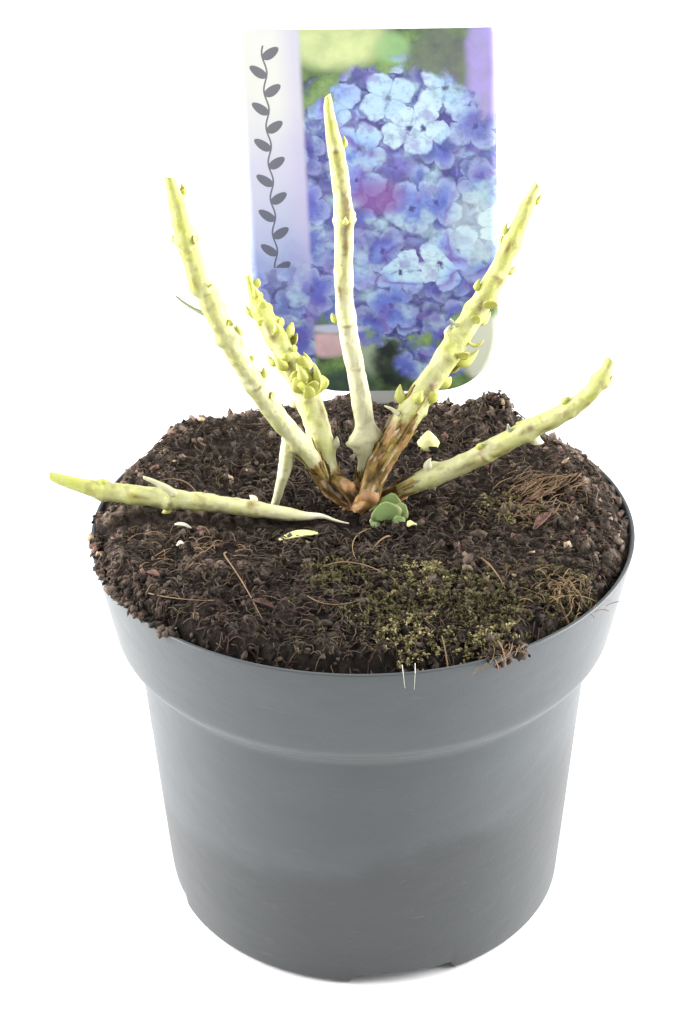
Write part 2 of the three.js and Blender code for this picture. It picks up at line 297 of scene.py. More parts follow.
def closed_rings(grid, first_pole, last_pole, **marks):
    """A closed skin over rings of points, with a fan of triangles from a pole at each end."""
    rows, sides = grid.shape[:2]
    index = numbered(rows, sides)
    first, last = rows * sides, rows * sides + 1
    around = np.roll(index, -1, axis=1)
    low = np.stack([np.full(sides, first), around[0], index[0]], axis=-1)
    high = np.stack([np.full(sides, last), index[-1], around[-1]], axis=-1)
    points = np.concatenate([grid.reshape(-1, 3), [first_pole], [last_pole]])
    with_poles = {
        name: np.concatenate([mark.reshape(-1), [mark[0].mean()], [mark[-1].mean()]])
        for name, mark in marks.items()
    }
    return Shell(points, [grid_quads(index, closed=True), low, high], **with_poles)


# How a carried ring closes at an end: rings of (share of the radius, share of the radius along the path).
ROUND_END = ((0.9, 0.3), (0.62, 0.52), (0.28, 0.64))
FLAT_END = ((0.97, 0.05), (0.88, 0.09), (0.5, 0.09), (0.42, 0.0))


def ring_angles(sides):
    """Evenly spaced angles once round."""
    return np.arange(sides) / sides * TURN


def rings_round(path, sides):
    """The way along a path, and a ring of unit vectors round each of its points: cos a x across + sin a x
    behind, where a runs once round, across is square to the path and to the front, and behind is square
    to both."""
    along = unit(np.gradient(path, axis=0))
    across = unit(np.cross(along, TOWARDS_FRONT))
    behind = np.cross(along, across)
    a = ring_angles(sides)
    return along, np.cos(a)[:, None] * across[:, None] + np.sin(a)[:, None] * behind[:, None], a


def tube(path, radius, ring):
    """The points of a ring carried along a path."""
    return path[:, None] + radius[..., None] * ring


def carry(path, radius, end=ROUND_END, slope=0.0, slope_bearing=0.0, **marks):
    """A ring carried along a path: a point is the path's place plus radius x the ring's unit vector. The
    ends close through rings of (share of the radius, share of the radius along the path), and slope
    shears the far end into a slanting cut."""
    rows, sides = radius.shape
    along, ring, a = rings_round(path, sides)
    arms = radius[..., None] * ring
    steps = np.linalg.norm(np.diff(path, axis=0), axis=1)
    left = np.concatenate([np.cumsum(steps[::-1])[::-1], [0.0]])
    cut = ease(-left, -4.0 * radius[-1].mean(), 0.0)
    lean = slope * np.cos(a - slope_bearing) * radius * cut[:, None]
    grid = path[:, None] + arms + lean[..., None] * along[:, None]
    near, far = radius[0].mean(), radius[-1].mean()
    before = [path[0] + s * arms[0] - out * near * along[0] for s, out in reversed(ROUND_END)]
    after = [
        path[-1] + s * arms[-1] + (out * far + s * lean[-1])[:, None] * along[-1] for s, out in end
    ]
    caps = [np.array(cap).reshape(-1, sides, 3) for cap in (before, after)]
    whole = np.concatenate([caps[0], grid, caps[1]])
    pad = (len(before), len(after))
    full = {}
    for name, mark in marks.items():
        full[name] = np.pad(np.broadcast_to(mark, (rows, sides)), (pad, (0, 0)), "edge")
    full["cut"] = np.zeros(whole.shape[:2])
    if end is FLAT_END:
        full["cut"][-len(end) :] = 1.0
    return closed_rings(whole, whole[0].mean(0), whole[-1].mean(0), **full)


def sheet(points, thickness, **marks):
    """A thin closed skin: a grid of points pushed half the thickness to each side along its own normal,
    with a strip of quads round its edge."""
    rows, columns = points.shape[:2]
    normal = unit(np.cross(np.gradient(points, axis=1), np.gradient(points, axis=0)))
    both = np.concatenate([points + normal * thickness / 2, points - normal * thickness / 2])
    index = numbered(rows, columns)
    edge = np.concatenate([index[0], index[1:, -1], index[-1, -2::-1], index[-2:0:-1, 0]])
    following = np.roll(edge, -1)
    under = rows * columns
    rim = np.stack([edge + under, following + under, following, edge], axis=-1)
    top = grid_quads(index)
    twice = {name: np.concatenate([m.reshape(-1), m.reshape(-1)]) for name, m in marks.items()}
    return Shell(both, [top, top[:, ::-1] + under, rim], **twice)


def hairs(paths, radius, sides=3):
    """Many thin closed threads at once. paths is (threads, steps, 3) and radius (threads, steps)."""
    threads, steps = paths.shape[:2]
    along = unit(np.gradient(paths, axis=1))
    across = unit(np.cross(along, unit(np.array([0.31, 0.17, 0.93]))))
    behind = np.cross(along, across)
    a = ring_angles(sides)
    ring = np.cos(a)[:, None] * across[:, :, None] + np.sin(a)[:, None] * behind[:, :, None]
    points = paths[:, :, None] + radius[:, :, None, None] * ring
    one = numbered(steps, sides)
    body = grid_quads(one, closed=True)
    ends = np.array([one[0, ::-1], one[-1]])
    shift = np.arange(threads)[:, None, None] * steps * sides
    return Shell(points, [(body + shift).reshape(-1, 4), (ends + shift).reshape(-1, sides)])


def join(shells):
    """Several shells as one. A mark that a shell lacks is 0 on it."""
    names = sorted({name for s in shells for name in s.marks})
    starts = np.concatenate([[0], np.cumsum([len(s.points) for s in shells])[:-1]])
    faces = [f + start for s, start in zip(shells, starts) for f in s.faces]
    marks = {
        name: np.concatenate([s.marks.get(name, np.zeros(len(s.points))) for s in shells]) for name in names
    }
    return Shell(np.concatenate([s.points for s in shells]), faces, **marks)


def make_piece(name, shells, finishes, replaced=(), finish_of=None, uv=None):
    """A Blender object of the shells, which rides on the plant, stands for its CAD nodes and wears its
    finishes. finish_of holds the number of each face's finish, and uv a place on the print for each
    vertex."""
    whole = join(shells)
    mesh = bpy.data.meshes.new(name)
    order = np.concatenate([f.reshape(-1) for f in whole.faces])
    sizes = np.concatenate([np.full(len(f), f.shape[1]) for f in whole.faces])
    mesh.vertices.add(len(whole.points))
    mesh.vertices.foreach_set("co", whole.points.reshape(-1))
    mesh.loops.add(len(order))
    mesh.loops.foreach_set("vertex_index", order)
    mesh.polygons.add(len(sizes))
    mesh.polygons.foreach_set("loop_start", np.concatenate([[0], np.cumsum(sizes)[:-1]]))
    mesh.polygons.foreach_set("use_smooth", np.ones(len(sizes), bool))
    for finish in finishes:
        mesh.materials.append(finish)
    if finish_of is not None:
        mesh.polygons.foreach_set("material_index", finish_of)
    for mark, values in whole.marks.items():
        mesh.attributes.new(mark, "FLOAT", "POINT").data.foreach_set("value", values)
    if uv is not None:
        mesh.uv_layers.new(name="print").data.foreach_set("uv", uv[order].reshape(-1))
    mesh.update(calc_edges=True)
    if mesh.validate():
        raise RuntimeError(f"{name} has broken faces")
    piece = bpy.data.objects.new(name, mesh)
    bpy.context.scene.collection.objects.link(piece)
    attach(piece, "root")
    if replaced:
        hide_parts(*replaced)
    return piece


# ---- Finishes ----


class Finish:
    """A material with a Principled shader, and short calls that wire its nodes."""

    def __init__(self, name):
        self.material = bpy.data.materials.new(name)
        self.material.use_nodes = True
        self.tree = self.material.node_tree
        self.tree.nodes.clear()
        self.shader = self.node("ShaderNodeBsdfPrincipled")
        output = self.node("ShaderNodeOutputMaterial")
        self.tree.links.new(self.shader.outputs[0], output.inputs[0])

    def node(self, kind, inputs=None, **options):
        """A node of that kind; an input is a value or another node's output."""
        made = self.tree.nodes.new(kind)
        for key, value in options.items():
            setattr(made, key, value)
        self.wire(made, inputs or {})
        return made

    def wire(self, node, inputs):
        """Links each input to another node's output, or sets it to a value."""
        for key, value in inputs.items():
            if isinstance(value, bpy.types.NodeSocket):
                self.tree.links.new(value, node.inputs[key])
            else:
                node.inputs[key].default_value = value

    def place(self, stretch=(1.0, 1.0, 1.0)):
        """Object coordinates, stretched along the axes."""
        at = self.node("ShaderNodeTexCoord").outputs["Object"]
        return self.node("ShaderNodeMapping", {"Vector": at, "Scale": stretch}).outputs[0]

    def mark(self, name):
        """The mark of that name on the mesh's vertices."""
        return self.node("ShaderNodeAttribute", attribute_name=name).outputs["Fac"]

    def grain(self, size, detail=3.0, roughness=0.55, at=None):
        """Noise of about the given size in metres, from 0 to 1."""
        inputs = {"Vector": at or self.place(), "Scale": 1.0 / size, "Detail": detail, "Roughness": roughness}
        return self.node("ShaderNodeTexNoise", inputs).outputs[0]

    def maths(self, operation, a, b=None, clamp=False):
        """One sum on one or two numbers."""
        inputs = {0: a} if b is None else {0: a, 1: b}
        return self.node("ShaderNodeMath", inputs, operation=operation, use_clamp=clamp).outputs[0]

    def plus(self, a, b, clamp=False):
        return self.maths("ADD", a, b, clamp)

    def minus(self, a, b):
        return self.maths("SUBTRACT", a, b)

    def times(self, a, b, clamp=False):
        return self.maths("MULTIPLY", a, b, clamp)

    def rest(self, share):
        """1 less the share."""
        return self.maths("SUBTRACT", 1.0, share)

    def vector(self, operation, a, b=(0.0, 0.0, 0.0)):
        """One sum on two places or colours, or one of them scaled by a number."""
        inputs = {0: a, "Scale" if operation == "SCALE" else 1: b}
        return self.node("ShaderNodeVectorMath", inputs, operation=operation).outputs

    def axes(self, at=None):
        """X, Y and Z of a place, by itself the Object coordinates."""
        return self.node("ShaderNodeSeparateXYZ", {0: at or self.place()}).outputs

    def step(self, value, start, end):
        """0 before start, 1 after end and eased between, as in ease()."""
        inputs = {"Value": value, "From Min": start, "From Max": end}
        return self.node("ShaderNodeMapRange", inputs, interpolation_type="SMOOTHSTEP").outputs[0]

    def range(self, value, low, high, start=0.0, end=1.0):
        """value carried from start..end to low..high."""
        inputs = {"Value": value, "From Min": start, "From Max": end, "To Min": low, "To Max": high}
        return self.node("ShaderNodeMapRange", inputs).outputs[0]

    def mix(self, share, a, b, kind="MIX"):
        """Colour a where share is 0 and b where it is 1."""
        a, b = (tuple(c) + (1.0,) if not isinstance(c, bpy.types.NodeSocket) else c for c in (a, b))
        inputs = {0: share, 6: a, 7: b}
        return self.node("ShaderNodeMix", inputs, data_type="RGBA", blend_type=kind).outputs[2]

    def bump(self, height, depth, below=None):
        """A normal that tilts with a height pattern of that depth in metres."""
        inputs = {"Height": height, "Distance": depth, "Strength": 1.0}
        if below is not None:
            inputs["Normal"] = below
        return self.node("ShaderNodeBump", inputs).outputs[0]

    def wear(self, colour, roughness, normal=None, **fixed):
        """Wires the shader. fixed sets its other sockets to plain numbers."""
        inputs = {"Base Color": colour, "Roughness": roughness}
        if normal is not None:
            inputs["Normal"] = normal
        self.wire(self.shader, inputs)
        self.wire(self.shader, {name.replace("_", " "): value for name, value in fixed.items()})
        return self.material


def shade(colour, factor):
    """A colour made lighter or darker."""
    return tuple(min(1.0, c * factor) for c in colour)


def ramp(f, value, stops):
    """A colour ramp through (place, colour) stops."""
    made = f.node("ShaderNodeValToRGB", {0: value})
    keys = made.color_ramp.elements
    while len(keys) < len(stops):
        keys.new(1.0)
    for key, (place, tint) in zip(keys, stops):
        key.position = place
        key.color = (*tint, 1.0)
    return made.outputs[0]


def pot_plastic(settings):
    """Grey moulded plastic: a faint cloudiness, a fine grain, pale scuffed streaks that run round the pot,
    and a darker foot whose upper edge climbs to one side by a fifth. The cloudiness and streaks are partly
    the plastic's own tone and scuffs and partly painted soft reflections; the darker foot is a painted
    dark reflection."""
    f = Finish("pot_plastic")
    # The cloud's lighter and darker patches are partly the plastic's own tone, partly painted soft
    # reflections.
    cloud = f.grain(0.05, detail=4.0, at=f.place((1.0, 1.0, 1.8)))
    fine = f.grain(0.0007, detail=2.0)
    streak = f.grain(0.006, detail=5.0, roughness=0.7, at=f.place((0.5, 0.5, 2.2)))
    # Pale streaks round the pot: partly real scuffs, partly painted reflections.
    scuffed_and_reflecting = f.step(streak, 0.6, 0.78)
    base = f.mix(f.step(cloud, 0.3, 0.7), shade(settings.colour, 0.88), shade(settings.colour, 1.12))
    # A painted dark reflection over the foot: its upper edge climbs to the right by a fifth of the way
    # across.
    parts = f.axes()
    height = f.plus(parts[2], f.range(cloud, -0.02, 0.02))
    slant = f.minus(height, f.times(parts[0], 0.2))
    painted_foot_reflection = f.times(f.rest(f.step(slant, 0.050, 0.064)), 0.75)
    base = f.mix(painted_foot_reflection, base, shade(settings.colour, 0.40))
    colour = f.mix(f.times(scuffed_and_reflecting, 0.6), base, settings.scuff_and_reflection)
    gloss = f.plus(f.range(cloud, 0.34, 0.42), f.times(scuffed_and_reflecting, 0.16))
    normal = f.bump(fine, 0.00006, f.bump(cloud, 0.0006))
    dusty = {"Sheen_Weight": 0.09, "Sheen_Roughness": 0.5}
    return f.wear(colour, gloss, normal, IOR=1.49, Specular_IOR_Level=0.5, **dusty)


def peat(name, dark, light, size):
    """Damp crumbly peat: two browns mixed by noise, with a rough grain."""
    f = Finish(name)
    share = f.step(f.grain(size, detail=6.0, roughness=0.7), 0.36, 0.66)
    colour = f.mix(share, dark, light)
    colour = f.mix(f.times(wall_paleness(f), share), colour, shade(light, 3.5))
    grain = f.bump(f.grain(0.0009, detail=4.0), 0.0005)
    return f.wear(colour, f.range(share, 0.95, 0.8), grain, Specular_IOR_Level=0.12)


def wall_paleness(f):
    """How much paler the compost is made: 0 towards the front, 1 beside the wall at the back and the sides.
    """
    parts = f.axes()
    square = f.plus(f.times(parts[0], parts[0]), f.times(parts[1], parts[1]))
    out = f.step(f.maths("SQRT", square), 0.015, 0.08)
    out = f.times(out, f.range(parts[0], 1.0, 0.78, -0.05, 0.05))
    return f.times(out, f.step(parts[1], -0.088, 0.022))


def heap_peat(s):
    """The matted top of the compost: dark in the hollows, where a painted shade darkens what lies low, and
    brown on what stands out, in reddish, brown and olive patches, with fine pale strands where a winding
    noise crosses its middle."""
    f = Finish("compost_peat")
    patch = f.grain(0.024, detail=3.0)
    red, olive = (0.060, 0.036, 0.034), (0.052, 0.046, 0.027)
    light = ramp(f, patch, ((0.34, red), (0.44, s.brown), (0.54, shade(s.brown, 1.2)), (0.62, olive)))
    tone = f.step(f.grain(0.0026, detail=6.0, roughness=0.78), 0.40, 0.66)
    # proud: how far the relief stands out; mixing in dark where it lies low is a painted shade in the
    # hollows.
    proud = f.step(f.mark("proud"), 0.12, 0.85)
    light = f.mix(wall_paleness(f), light, shade(s.brown, 7.8))
    colour = f.mix(f.times(f.range(tone, 0.12, 1.0), f.range(proud, 0.15, 1.0)), s.dark, light)
    winding = f.node("ShaderNodeTexNoise", {
        "Vector": f.place(), "Scale": 420.0, "Detail": 1.5, "Roughness": 0.5, "Distortion": 2.2,
    }).outputs[0]
    strand = f.maths("ABSOLUTE", f.minus(winding, 0.5))
    strand = f.rest(f.step(strand, 0.0, 0.016))
    strand = f.times(strand, f.times(proud, f.range(tone, 0.2, 0.8)))
    colour = f.mix(strand, colour, shade(s.tan, 0.9))
    rough_grain = f.bump(f.grain(0.0010, detail=5.0, roughness=0.7), 0.0011, f.bump(strand, 0.0003))
    return f.wear(colour, 0.92, rough_grain, Specular_IOR_Level=0.1)


def plain_bits(name, colour, roughness=0.9, spread=0.25):
    """The finish of small loose bits: one colour that a soft noise makes a little lighter and darker."""
    f = Finish(name)
    share = f.grain(0.007, detail=2.0)
    tint = f.mix(share, shade(colour, 1 - spread), shade(colour, 1 + spread))
    return f.wear(tint, roughness, Specular_IOR_Level=0.12)


# ---- Places from the frame ----


def corners(node):
    """The distinct corners of a CAD node."""
    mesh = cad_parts[node].data
    points = np.zeros(len(mesh.vertices) * 3)
    mesh.vertices.foreach_get("co", points)
    return np.unique(np.round(points.reshape(-1, 3), 7), axis=0)


# Canes drawn slimmer than their solids: shares of the radius at foot and tip, and how far the tip also
# sinks.
SLIM = {"cane_lying_left": (0.80, 0.92, 0.8 * MM)}


class CaneLine:
    """The middle line and the radius of a CAD cane, as smooth curves of the share t of the way up it.

    The corners spread most along the cane's own axis, and t is their share of the way along that. The
    middle line is the polynomial in t that lies nearest to all corners by least squares, and the radius
    is the polynomial nearest to their distances from it. A slimmed cane's line sinks by the radius that
    it loses, so its underside stays."""

    def __init__(self, node, foot_near):
        self.foot_share, self.tip_share, self.sink = SLIM.get(node, (1.0, 1.0, 0.0))
        points = corners(node)
        middle = points.mean(axis=0)
        axis = np.linalg.svd(points - middle, full_matrices=False)[2][0]
        if (np.asarray(foot_near) - middle) @ axis > 0:
            axis = -axis
        along = (points - middle) @ axis
        t = (along - along.min()) / (along.max() - along.min())
        powers = 7 if len(points) > 120 else 3
        line = np.linalg.lstsq(np.vander(t, powers), points, rcond=None)[0]
        away = np.linalg.norm(points - np.vander(t, powers) @ line, axis=1)
        self.line = np.concatenate([np.zeros((7 - powers, 3)), line])
        self.spread = np.linalg.lstsq(np.vander(t, 5 if powers > 3 else 2), away, rcond=None)[0]
        fine = np.linspace(0, 1, 200)
        self.length = np.linalg.norm(np.diff(self.at(fine), axis=0), axis=1).sum()

    def at(self, t):
        """Places on the middle line. Before the foot and past the tip it runs on straight."""
        t = np.asarray(t, float)
        held = np.clip(t, 0.0, 1.0)
        slope = np.vander(held, 7)[:, 1:] * np.arange(6, 0, -1) @ self.line[:-1]
        lost = (1 - self.share(held)) * self.solid_radius(held) + self.sink * ease(held, 0.5, 0.9)
        return np.vander(held, 7) @ self.line + (t - held)[:, None] * slope - lost[:, None] * UP

    def share(self, t):
        """The share of the solid's radius that is kept."""
        return blend(self.foot_share, self.tip_share, ease(t, 0.1, 0.6))

    def solid_radius(self, t):
        """The CAD cane's radius there."""
        return np.vander(np.clip(t, 0.0, 1.0), len(self.spread)) @ self.spread

    def radius(self, t):
        """The radius there."""
        return self.share(t) * self.solid_radius(t)

    def side(self, t, bearing):
        """The place on the bark at t, the way out of it and the way along the cane, at a bearing round
        the cane that is counted as carry() counts a."""
        near = self.at(np.array([t - 0.01, t, t + 0.01]))
        along = unit(near[2] - near[0])
        across = unit(np.cross(along, TOWARDS_FRONT))
        out = math.cos(bearing) * across + math.sin(bearing) * np.cross(along, across)
        return near[1] + out * self.radius(np.array([t]))[0], out, along


# How far the compost has shrunk down beside the wall: (bearing in degrees, millimetres).
SHRUNK = (
    (0, 1.6), (20, 0.8), (42, 0.0), (68, 0.0), (80, 1.0), (115, 1.0), (124, 0.2), (146, 0.2), (158, 1.2),
    (190, 0.6), (197, 0.0), (222, 0.2), (234, 3.0), (250, 3.8), (291, 3.8), (296, 0.6), (301, 0.6),
    (307, 3.6), (335, 3.0), (360, 1.6),
)


# How far the compost has settled towards the wall: (bearing in degrees, millimetres).
SETTLED = (
    (0, 0.0), (35, 0.0), (43, 2.0), (47, 0.0), (55, 0.0), (61, 4.4), (70, 2.6), (90, 2.4), (98, 3.2),
    (115, 5.0), (125, 5.4), (134, 4.2), (142, 2.6), (152, 0.0), (360, 0.0),
)


class Ground:
    """The top of the compost. Its level is read from the CAD compost's upper corners: a square table,
    each cell of which weights them by one over the fourth power of their distance, read off with straight
    blends between cells. Its relief is folded noise, which makes rounded clods with creases between
    them."""

    CELLS = 97
    SOFTEN = 2.6 * MM
    LYING_ROOM = 6 * MM
    STOOL_ROOM = 9 * MM

    def __init__(self, relief):
        self.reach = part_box("compost")[1].x
        self.relief = relief
        points = corners("compost")
        top = points[points[:, 2] > RIM_HEIGHT - 5 * MM]
        lying = LYING.at(np.linspace(0, 1, 60))[:, :2]
        clear = np.linalg.norm(top[:, None, :2] - lying[None], axis=-1).min(axis=1) > self.LYING_ROOM
        stool_low, stool_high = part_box("stool")
        around = np.array([(stool_low.x + stool_high.x) / 2, (stool_low.y + stool_high.y) / 2])
        clear &= np.linalg.norm(top[:, :2] - around, axis=1) > self.STOOL_ROOM
        top = top[clear]
        ticks = np.linspace(-1, 1, self.CELLS) * (self.reach + 4 * MM)
        x, y = np.meshgrid(ticks, ticks, indexing="ij")
        square = (x[..., None] - top[:, 0]) ** 2 + (y[..., None] - top[:, 1]) ** 2
        weight = 1.0 / (square + self.SOFTEN**2) ** 2
        self.table = (weight @ top[:, 2]) / weight.sum(axis=-1)
        self.step = ticks[1] - ticks[0]
        self.first = ticks[0]

    def level(self, x, y):
        """The height without relief."""
        column = np.clip((x - self.first) / self.step, 0, self.CELLS - 1.001)
        row = np.clip((y - self.first) / self.step, 0, self.CELLS - 1.001)
        i, j = column.astype(int), row.astype(int)
        p, q = column - i, row - j
        near = blend(self.table[i, j], self.table[i + 1, j], p)
        far = blend(self.table[i, j + 1], self.table[i + 1, j + 1], p)
        return blend(near, far, q) - self.gap(x, y)

    def gap(self, x, y):
        """How far the compost has shrunk down beside the pot's wall, eased in over its last 6 mm, and
        settled, eased in over 32 mm."""
        bearing, out = np.degrees(np.arctan2(y, x)) % 360, np.hypot(x, y)
        shrunk = np.interp(bearing, *zip(*SHRUNK)) * ease(out, self.reach - 6 * MM, self.reach - 0.5 * MM)
        settled = np.interp(bearing, *zip(*SETTLED)) * ease(out, self.reach - 42 * MM, self.reach - 10 * MM)
        return (shrunk + settled) * MM

    def bumps(self, x, y):
        """The relief: clods with creases between them, lumps on the clods and a fine roughness on the
        lumps."""
        at = points_at(x, y)
        clods = np.abs(rough(at, 12 * MM, 11, 3)) * 3.8 - 1.1
        lumps = np.abs(rough(at, 4.6 * MM, 23, 2)) * 2.6 - 0.8
        fine = rough(at, 1.9 * MM, 37, 2)
        return (1.2 * clods + 0.9 * lumps + 0.6 * fine) * MM * self.relief

    def height(self, x, y):
        """The height with relief, pressed down under the cane that lies on it."""
        z = self.level(x, y) + self.bumps(x, y)
        return np.minimum(z, self.under_lying_cane(x, y))

    def under_lying_cane(self, x, y):
        """The underside of the lying cane where it passes over a point, and far up elsewhere."""
        t = np.linspace(0, 1, 80)
        line = LYING.at(t)
        inside = np.interp(x, line[::-1, 0], t[::-1])
        across = y - np.interp(x, line[::-1, 0], line[::-1, 1])
        radius = LYING.radius(inside.reshape(-1)).reshape(np.shape(x))
        z = np.interp(x, line[::-1, 0], line[::-1, 2])
        away = np.abs(across) / radius
        under = z - radius * 0.55 + 1.8 * MM * ease(away, 1.0, 2.2)
        covered = (x > line[:, 0].min()) & (x < line[:, 0].max()) & (away < 2.2)
        return np.where(covered, under, 1.0)


CANES = (
    "cane_left_tall", "cane_left_inner", "cane_centre_tall", "cane_right_tall", "cane_right_low",
    "cane_lying_left", "shoot_drooping",
)


def stool_heart():
    """The point where the stool forks: the middle of its foot, a little above its cut."""
    low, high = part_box("stool")
    return np.array([(low.x + high.x) / 2, (low.y + high.y) / 2, low.z + 2.5 * MM])


LINES = {name: CaneLine(name, stool_heart()) for name in CANES}
LYING = LINES["cane_lying_left"]


# ---- Pot ----


CORNER_STEPS = 7


def rounded(outline):
    """A profile with its corners eased. A corner is (radius, height, rounding), and its rounding is
    replaced with the quadratic curve that starts and ends that far from the corner on its two sides."""
    points = []
    for i, (x, z, size) in enumerate(outline):
        here = np.array([x, z])
        if size == 0:
            points.append(here)
            continue
        before = here + unit(np.array(outline[i - 1][:2]) - here) * size
        after = here + unit(np.array(outline[(i + 1) % len(outline)][:2]) - here) * size
        for t in np.linspace(0, 1, CORNER_STEPS):
            points.append(bent(before, here, after, t))
    return np.array(points)


def divided(profile, step):
    """A closed profile with points added, so that none of its straight stretches is longer than step."""
    following = np.roll(profile, -1, axis=0)
    parts = []
    for here, there in zip(profile, following):
        pieces = max(1, math.ceil(np.linalg.norm(there - here) / step))
        parts.append(blend(here, there, np.arange(pieces)[:, None] / pieces))
    return np.concatenate(parts)


def weld(shell):
    """The shell with corners that lie on each other made one."""
    points, where = np.unique(np.round(shell.points, 7), axis=0, return_inverse=True)
    return Shell(points, [where.reshape(-1)[f] for f in shell.faces])


WALL_SIDES = 240
PROFILE_STEP = 3 * MM


def pot_wall(s):
    """Wall, rim, collar and foot ring: a closed profile turned round the Z axis. The foot ring's
    underside is lifted where its bearing lies in a notch, by an ease over the notch's rounded corners."""
    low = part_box("pot")[0]
    collar, shoulder = RIM_HEIGHT - s.collar, RIM_HEIGHT - s.collar - s.shoulder
    inner_foot = s.foot_radius - s.ring - s.wall
    floor = s.base_lift + s.wall
    outline = [
        (inner_foot, s.base_lift, 0),
        (inner_foot + s.wall, low.z, 0.5 * MM),
        (s.foot_radius - s.wall, low.z, 0.5 * MM),
        (s.foot_radius, low.z + s.wall, 0.8 * MM),
        (s.shoulder_radius, shoulder, 3.2 * MM),
        (s.collar_radius, collar, 3.4 * MM),
        (RIM_RADIUS - 0.05 * MM, RIM_HEIGHT, 0.55 * MM),
        (RIM_RADIUS - s.wall, RIM_HEIGHT, 0.55 * MM),
        (s.collar_radius - s.wall, collar, 1.2 * MM),
        (s.shoulder_radius - s.wall, shoulder, 1.2 * MM),
        (s.foot_radius - 0.2 * s.wall, floor, 0),
        (inner_foot, floor, 0),
    ]
    profile = divided(rounded(outline), PROFILE_STEP)
    inward = s.notch_width / 2 - np.arange(6) * MM
    edges = np.concatenate([-inward, inward]) / s.foot_radius
    notches = s.notch_bearing + np.arange(4) * TURN / 4
    extra = (notches[:, None] + edges).reshape(-1)
    even = np.arange(WALL_SIDES) * TURN / WALL_SIDES
    bearings = np.unique(np.round(np.concatenate([even, extra % TURN]), 5))
    apart = angle_apart(bearings[:, None], notches).min(axis=1) * s.foot_radius
    lift = s.notch_height * ease(s.notch_width / 2 - apart, 0.0, 3 * MM)
    radius, height = profile[:, :1], profile[:, 1:]
    outside = ease(radius, inner_foot + 0.4 * s.wall, inner_foot + 0.9 * s.wall)
    share = outside * np.clip(1 - (height - low.z) / (3 * s.notch_height), 0, 1)
    share = np.where(height > floor - 0.1 * MM, np.where(radius > s.foot_radius, share, 0.0), share)
    grid = circle(radius, bearings, height + share * lift)
    wave = noise(grid * [1, 1, 0.6], 45 * MM, 5) * 0.22 * MM * ease(grid[..., 2], 8 * MM, 30 * MM)
    grid[..., :2] *= (1 + wave / np.maximum(radius, 30 * MM))[..., None]
    index = numbered(*grid.shape[:2])
    index = np.concatenate([index, index[:1]])
    return Shell(grid, [grid_quads(index, closed=True)])


def pot_base(s):
    """Base plate inside the foot ring. Each drain hole sits in a square of radius by bearing: straight
    spokes join the hole's edge to the square's edge, on the plate's upper and lower faces."""
    per_side, across = 12, 8 * MM
    reach = s.foot_radius - s.ring - s.wall + 0.7 * MM
    lower, upper = s.base_lift, s.base_lift + s.wall
    run = np.linspace(-1, 1, per_side + 1)[:-1]
    one = np.ones(per_side)
    u = np.concatenate([one, -run, -one, run])
    v = np.concatenate([run, one, -run, -one])
    shells = []
    for bearing in s.notch_bearing + np.arange(8) * TURN / 8:
        middle = circle(s.drain_circle, bearing)
        square = circle(s.drain_circle + across * u, bearing + v * TURN / 16)
        hole = middle + unit(square - middle) * s.drain_radius
        half = blend(hole, square, 0.45)
        top = np.array([square, half, hole]) + UP * upper
        bottom = np.array([hole, half, square]) + UP * lower
        shells.append(belt(np.concatenate([top, bottom])))
    bearings = s.notch_bearing + np.arange(8 * per_side) * TURN / (8 * per_side)
    outer, inner = s.drain_circle + across, s.drain_circle - across
    band = [(outer, lower), (reach, lower), (reach, upper), (outer, upper)]
    shells.append(belt(np.array([circle(r, bearings, z) for r, z in band])))
    inwards = (inner, s.pad_radius + s.ring / 2, s.pad_radius)
    for disc, z in (((*inwards, s.pad_radius / 2), upper), (inwards, lower)):
        down = z - s.base_lift if z == upper else 0.0
        heights = [z if r > s.pad_radius else down for r in disc]
        rings = np.array([circle(r, bearings, h) for r, h in zip(disc, heights)])
        index = numbered(*rings.shape[:2])
        pole = np.full(rings.shape[1], index.size)
        fan = np.stack([index[-1], np.roll(index[-1], -1), pole], axis=-1)
        quads = grid_quads(index, closed=True)
        if z == lower:
            quads, fan = quads[:, ::-1], fan[:, ::-1]
        shells.append(Shell(np.concatenate([rings.reshape(-1, 3), [[0, 0, down]]]), [quads, fan]))
    return weld(join(shells))


def make_pot(s):
    """The pot: its wall and its base in one piece."""
    make_piece("nursery_pot", [pot_wall(s), pot_base(s)], [pot_plastic(s)], replaced=["pot"])


# ---- Compost ----


def disc_grid(cells, radius):
    """A square grid laid on a disc. The larger of the two square coordinates is the radius, and their
    quotient turns into the bearing within each quarter, so all cells stay about equally large."""
    ticks = np.linspace(-1, 1, cells + 1)
    a, b = np.meshgrid(ticks, ticks, indexing="ij")
    wide = np.abs(a) > np.abs(b)
    reach = np.where(wide, a, b)
    safe = np.where(reach == 0, 1.0, reach)
    bearing = np.where(wide, b / safe * TURN / 8, TURN / 4 - a / safe * TURN / 8)
    return reach * radius * np.cos(bearing), reach * radius * np.sin(bearing)


HEAP_CELLS = 290


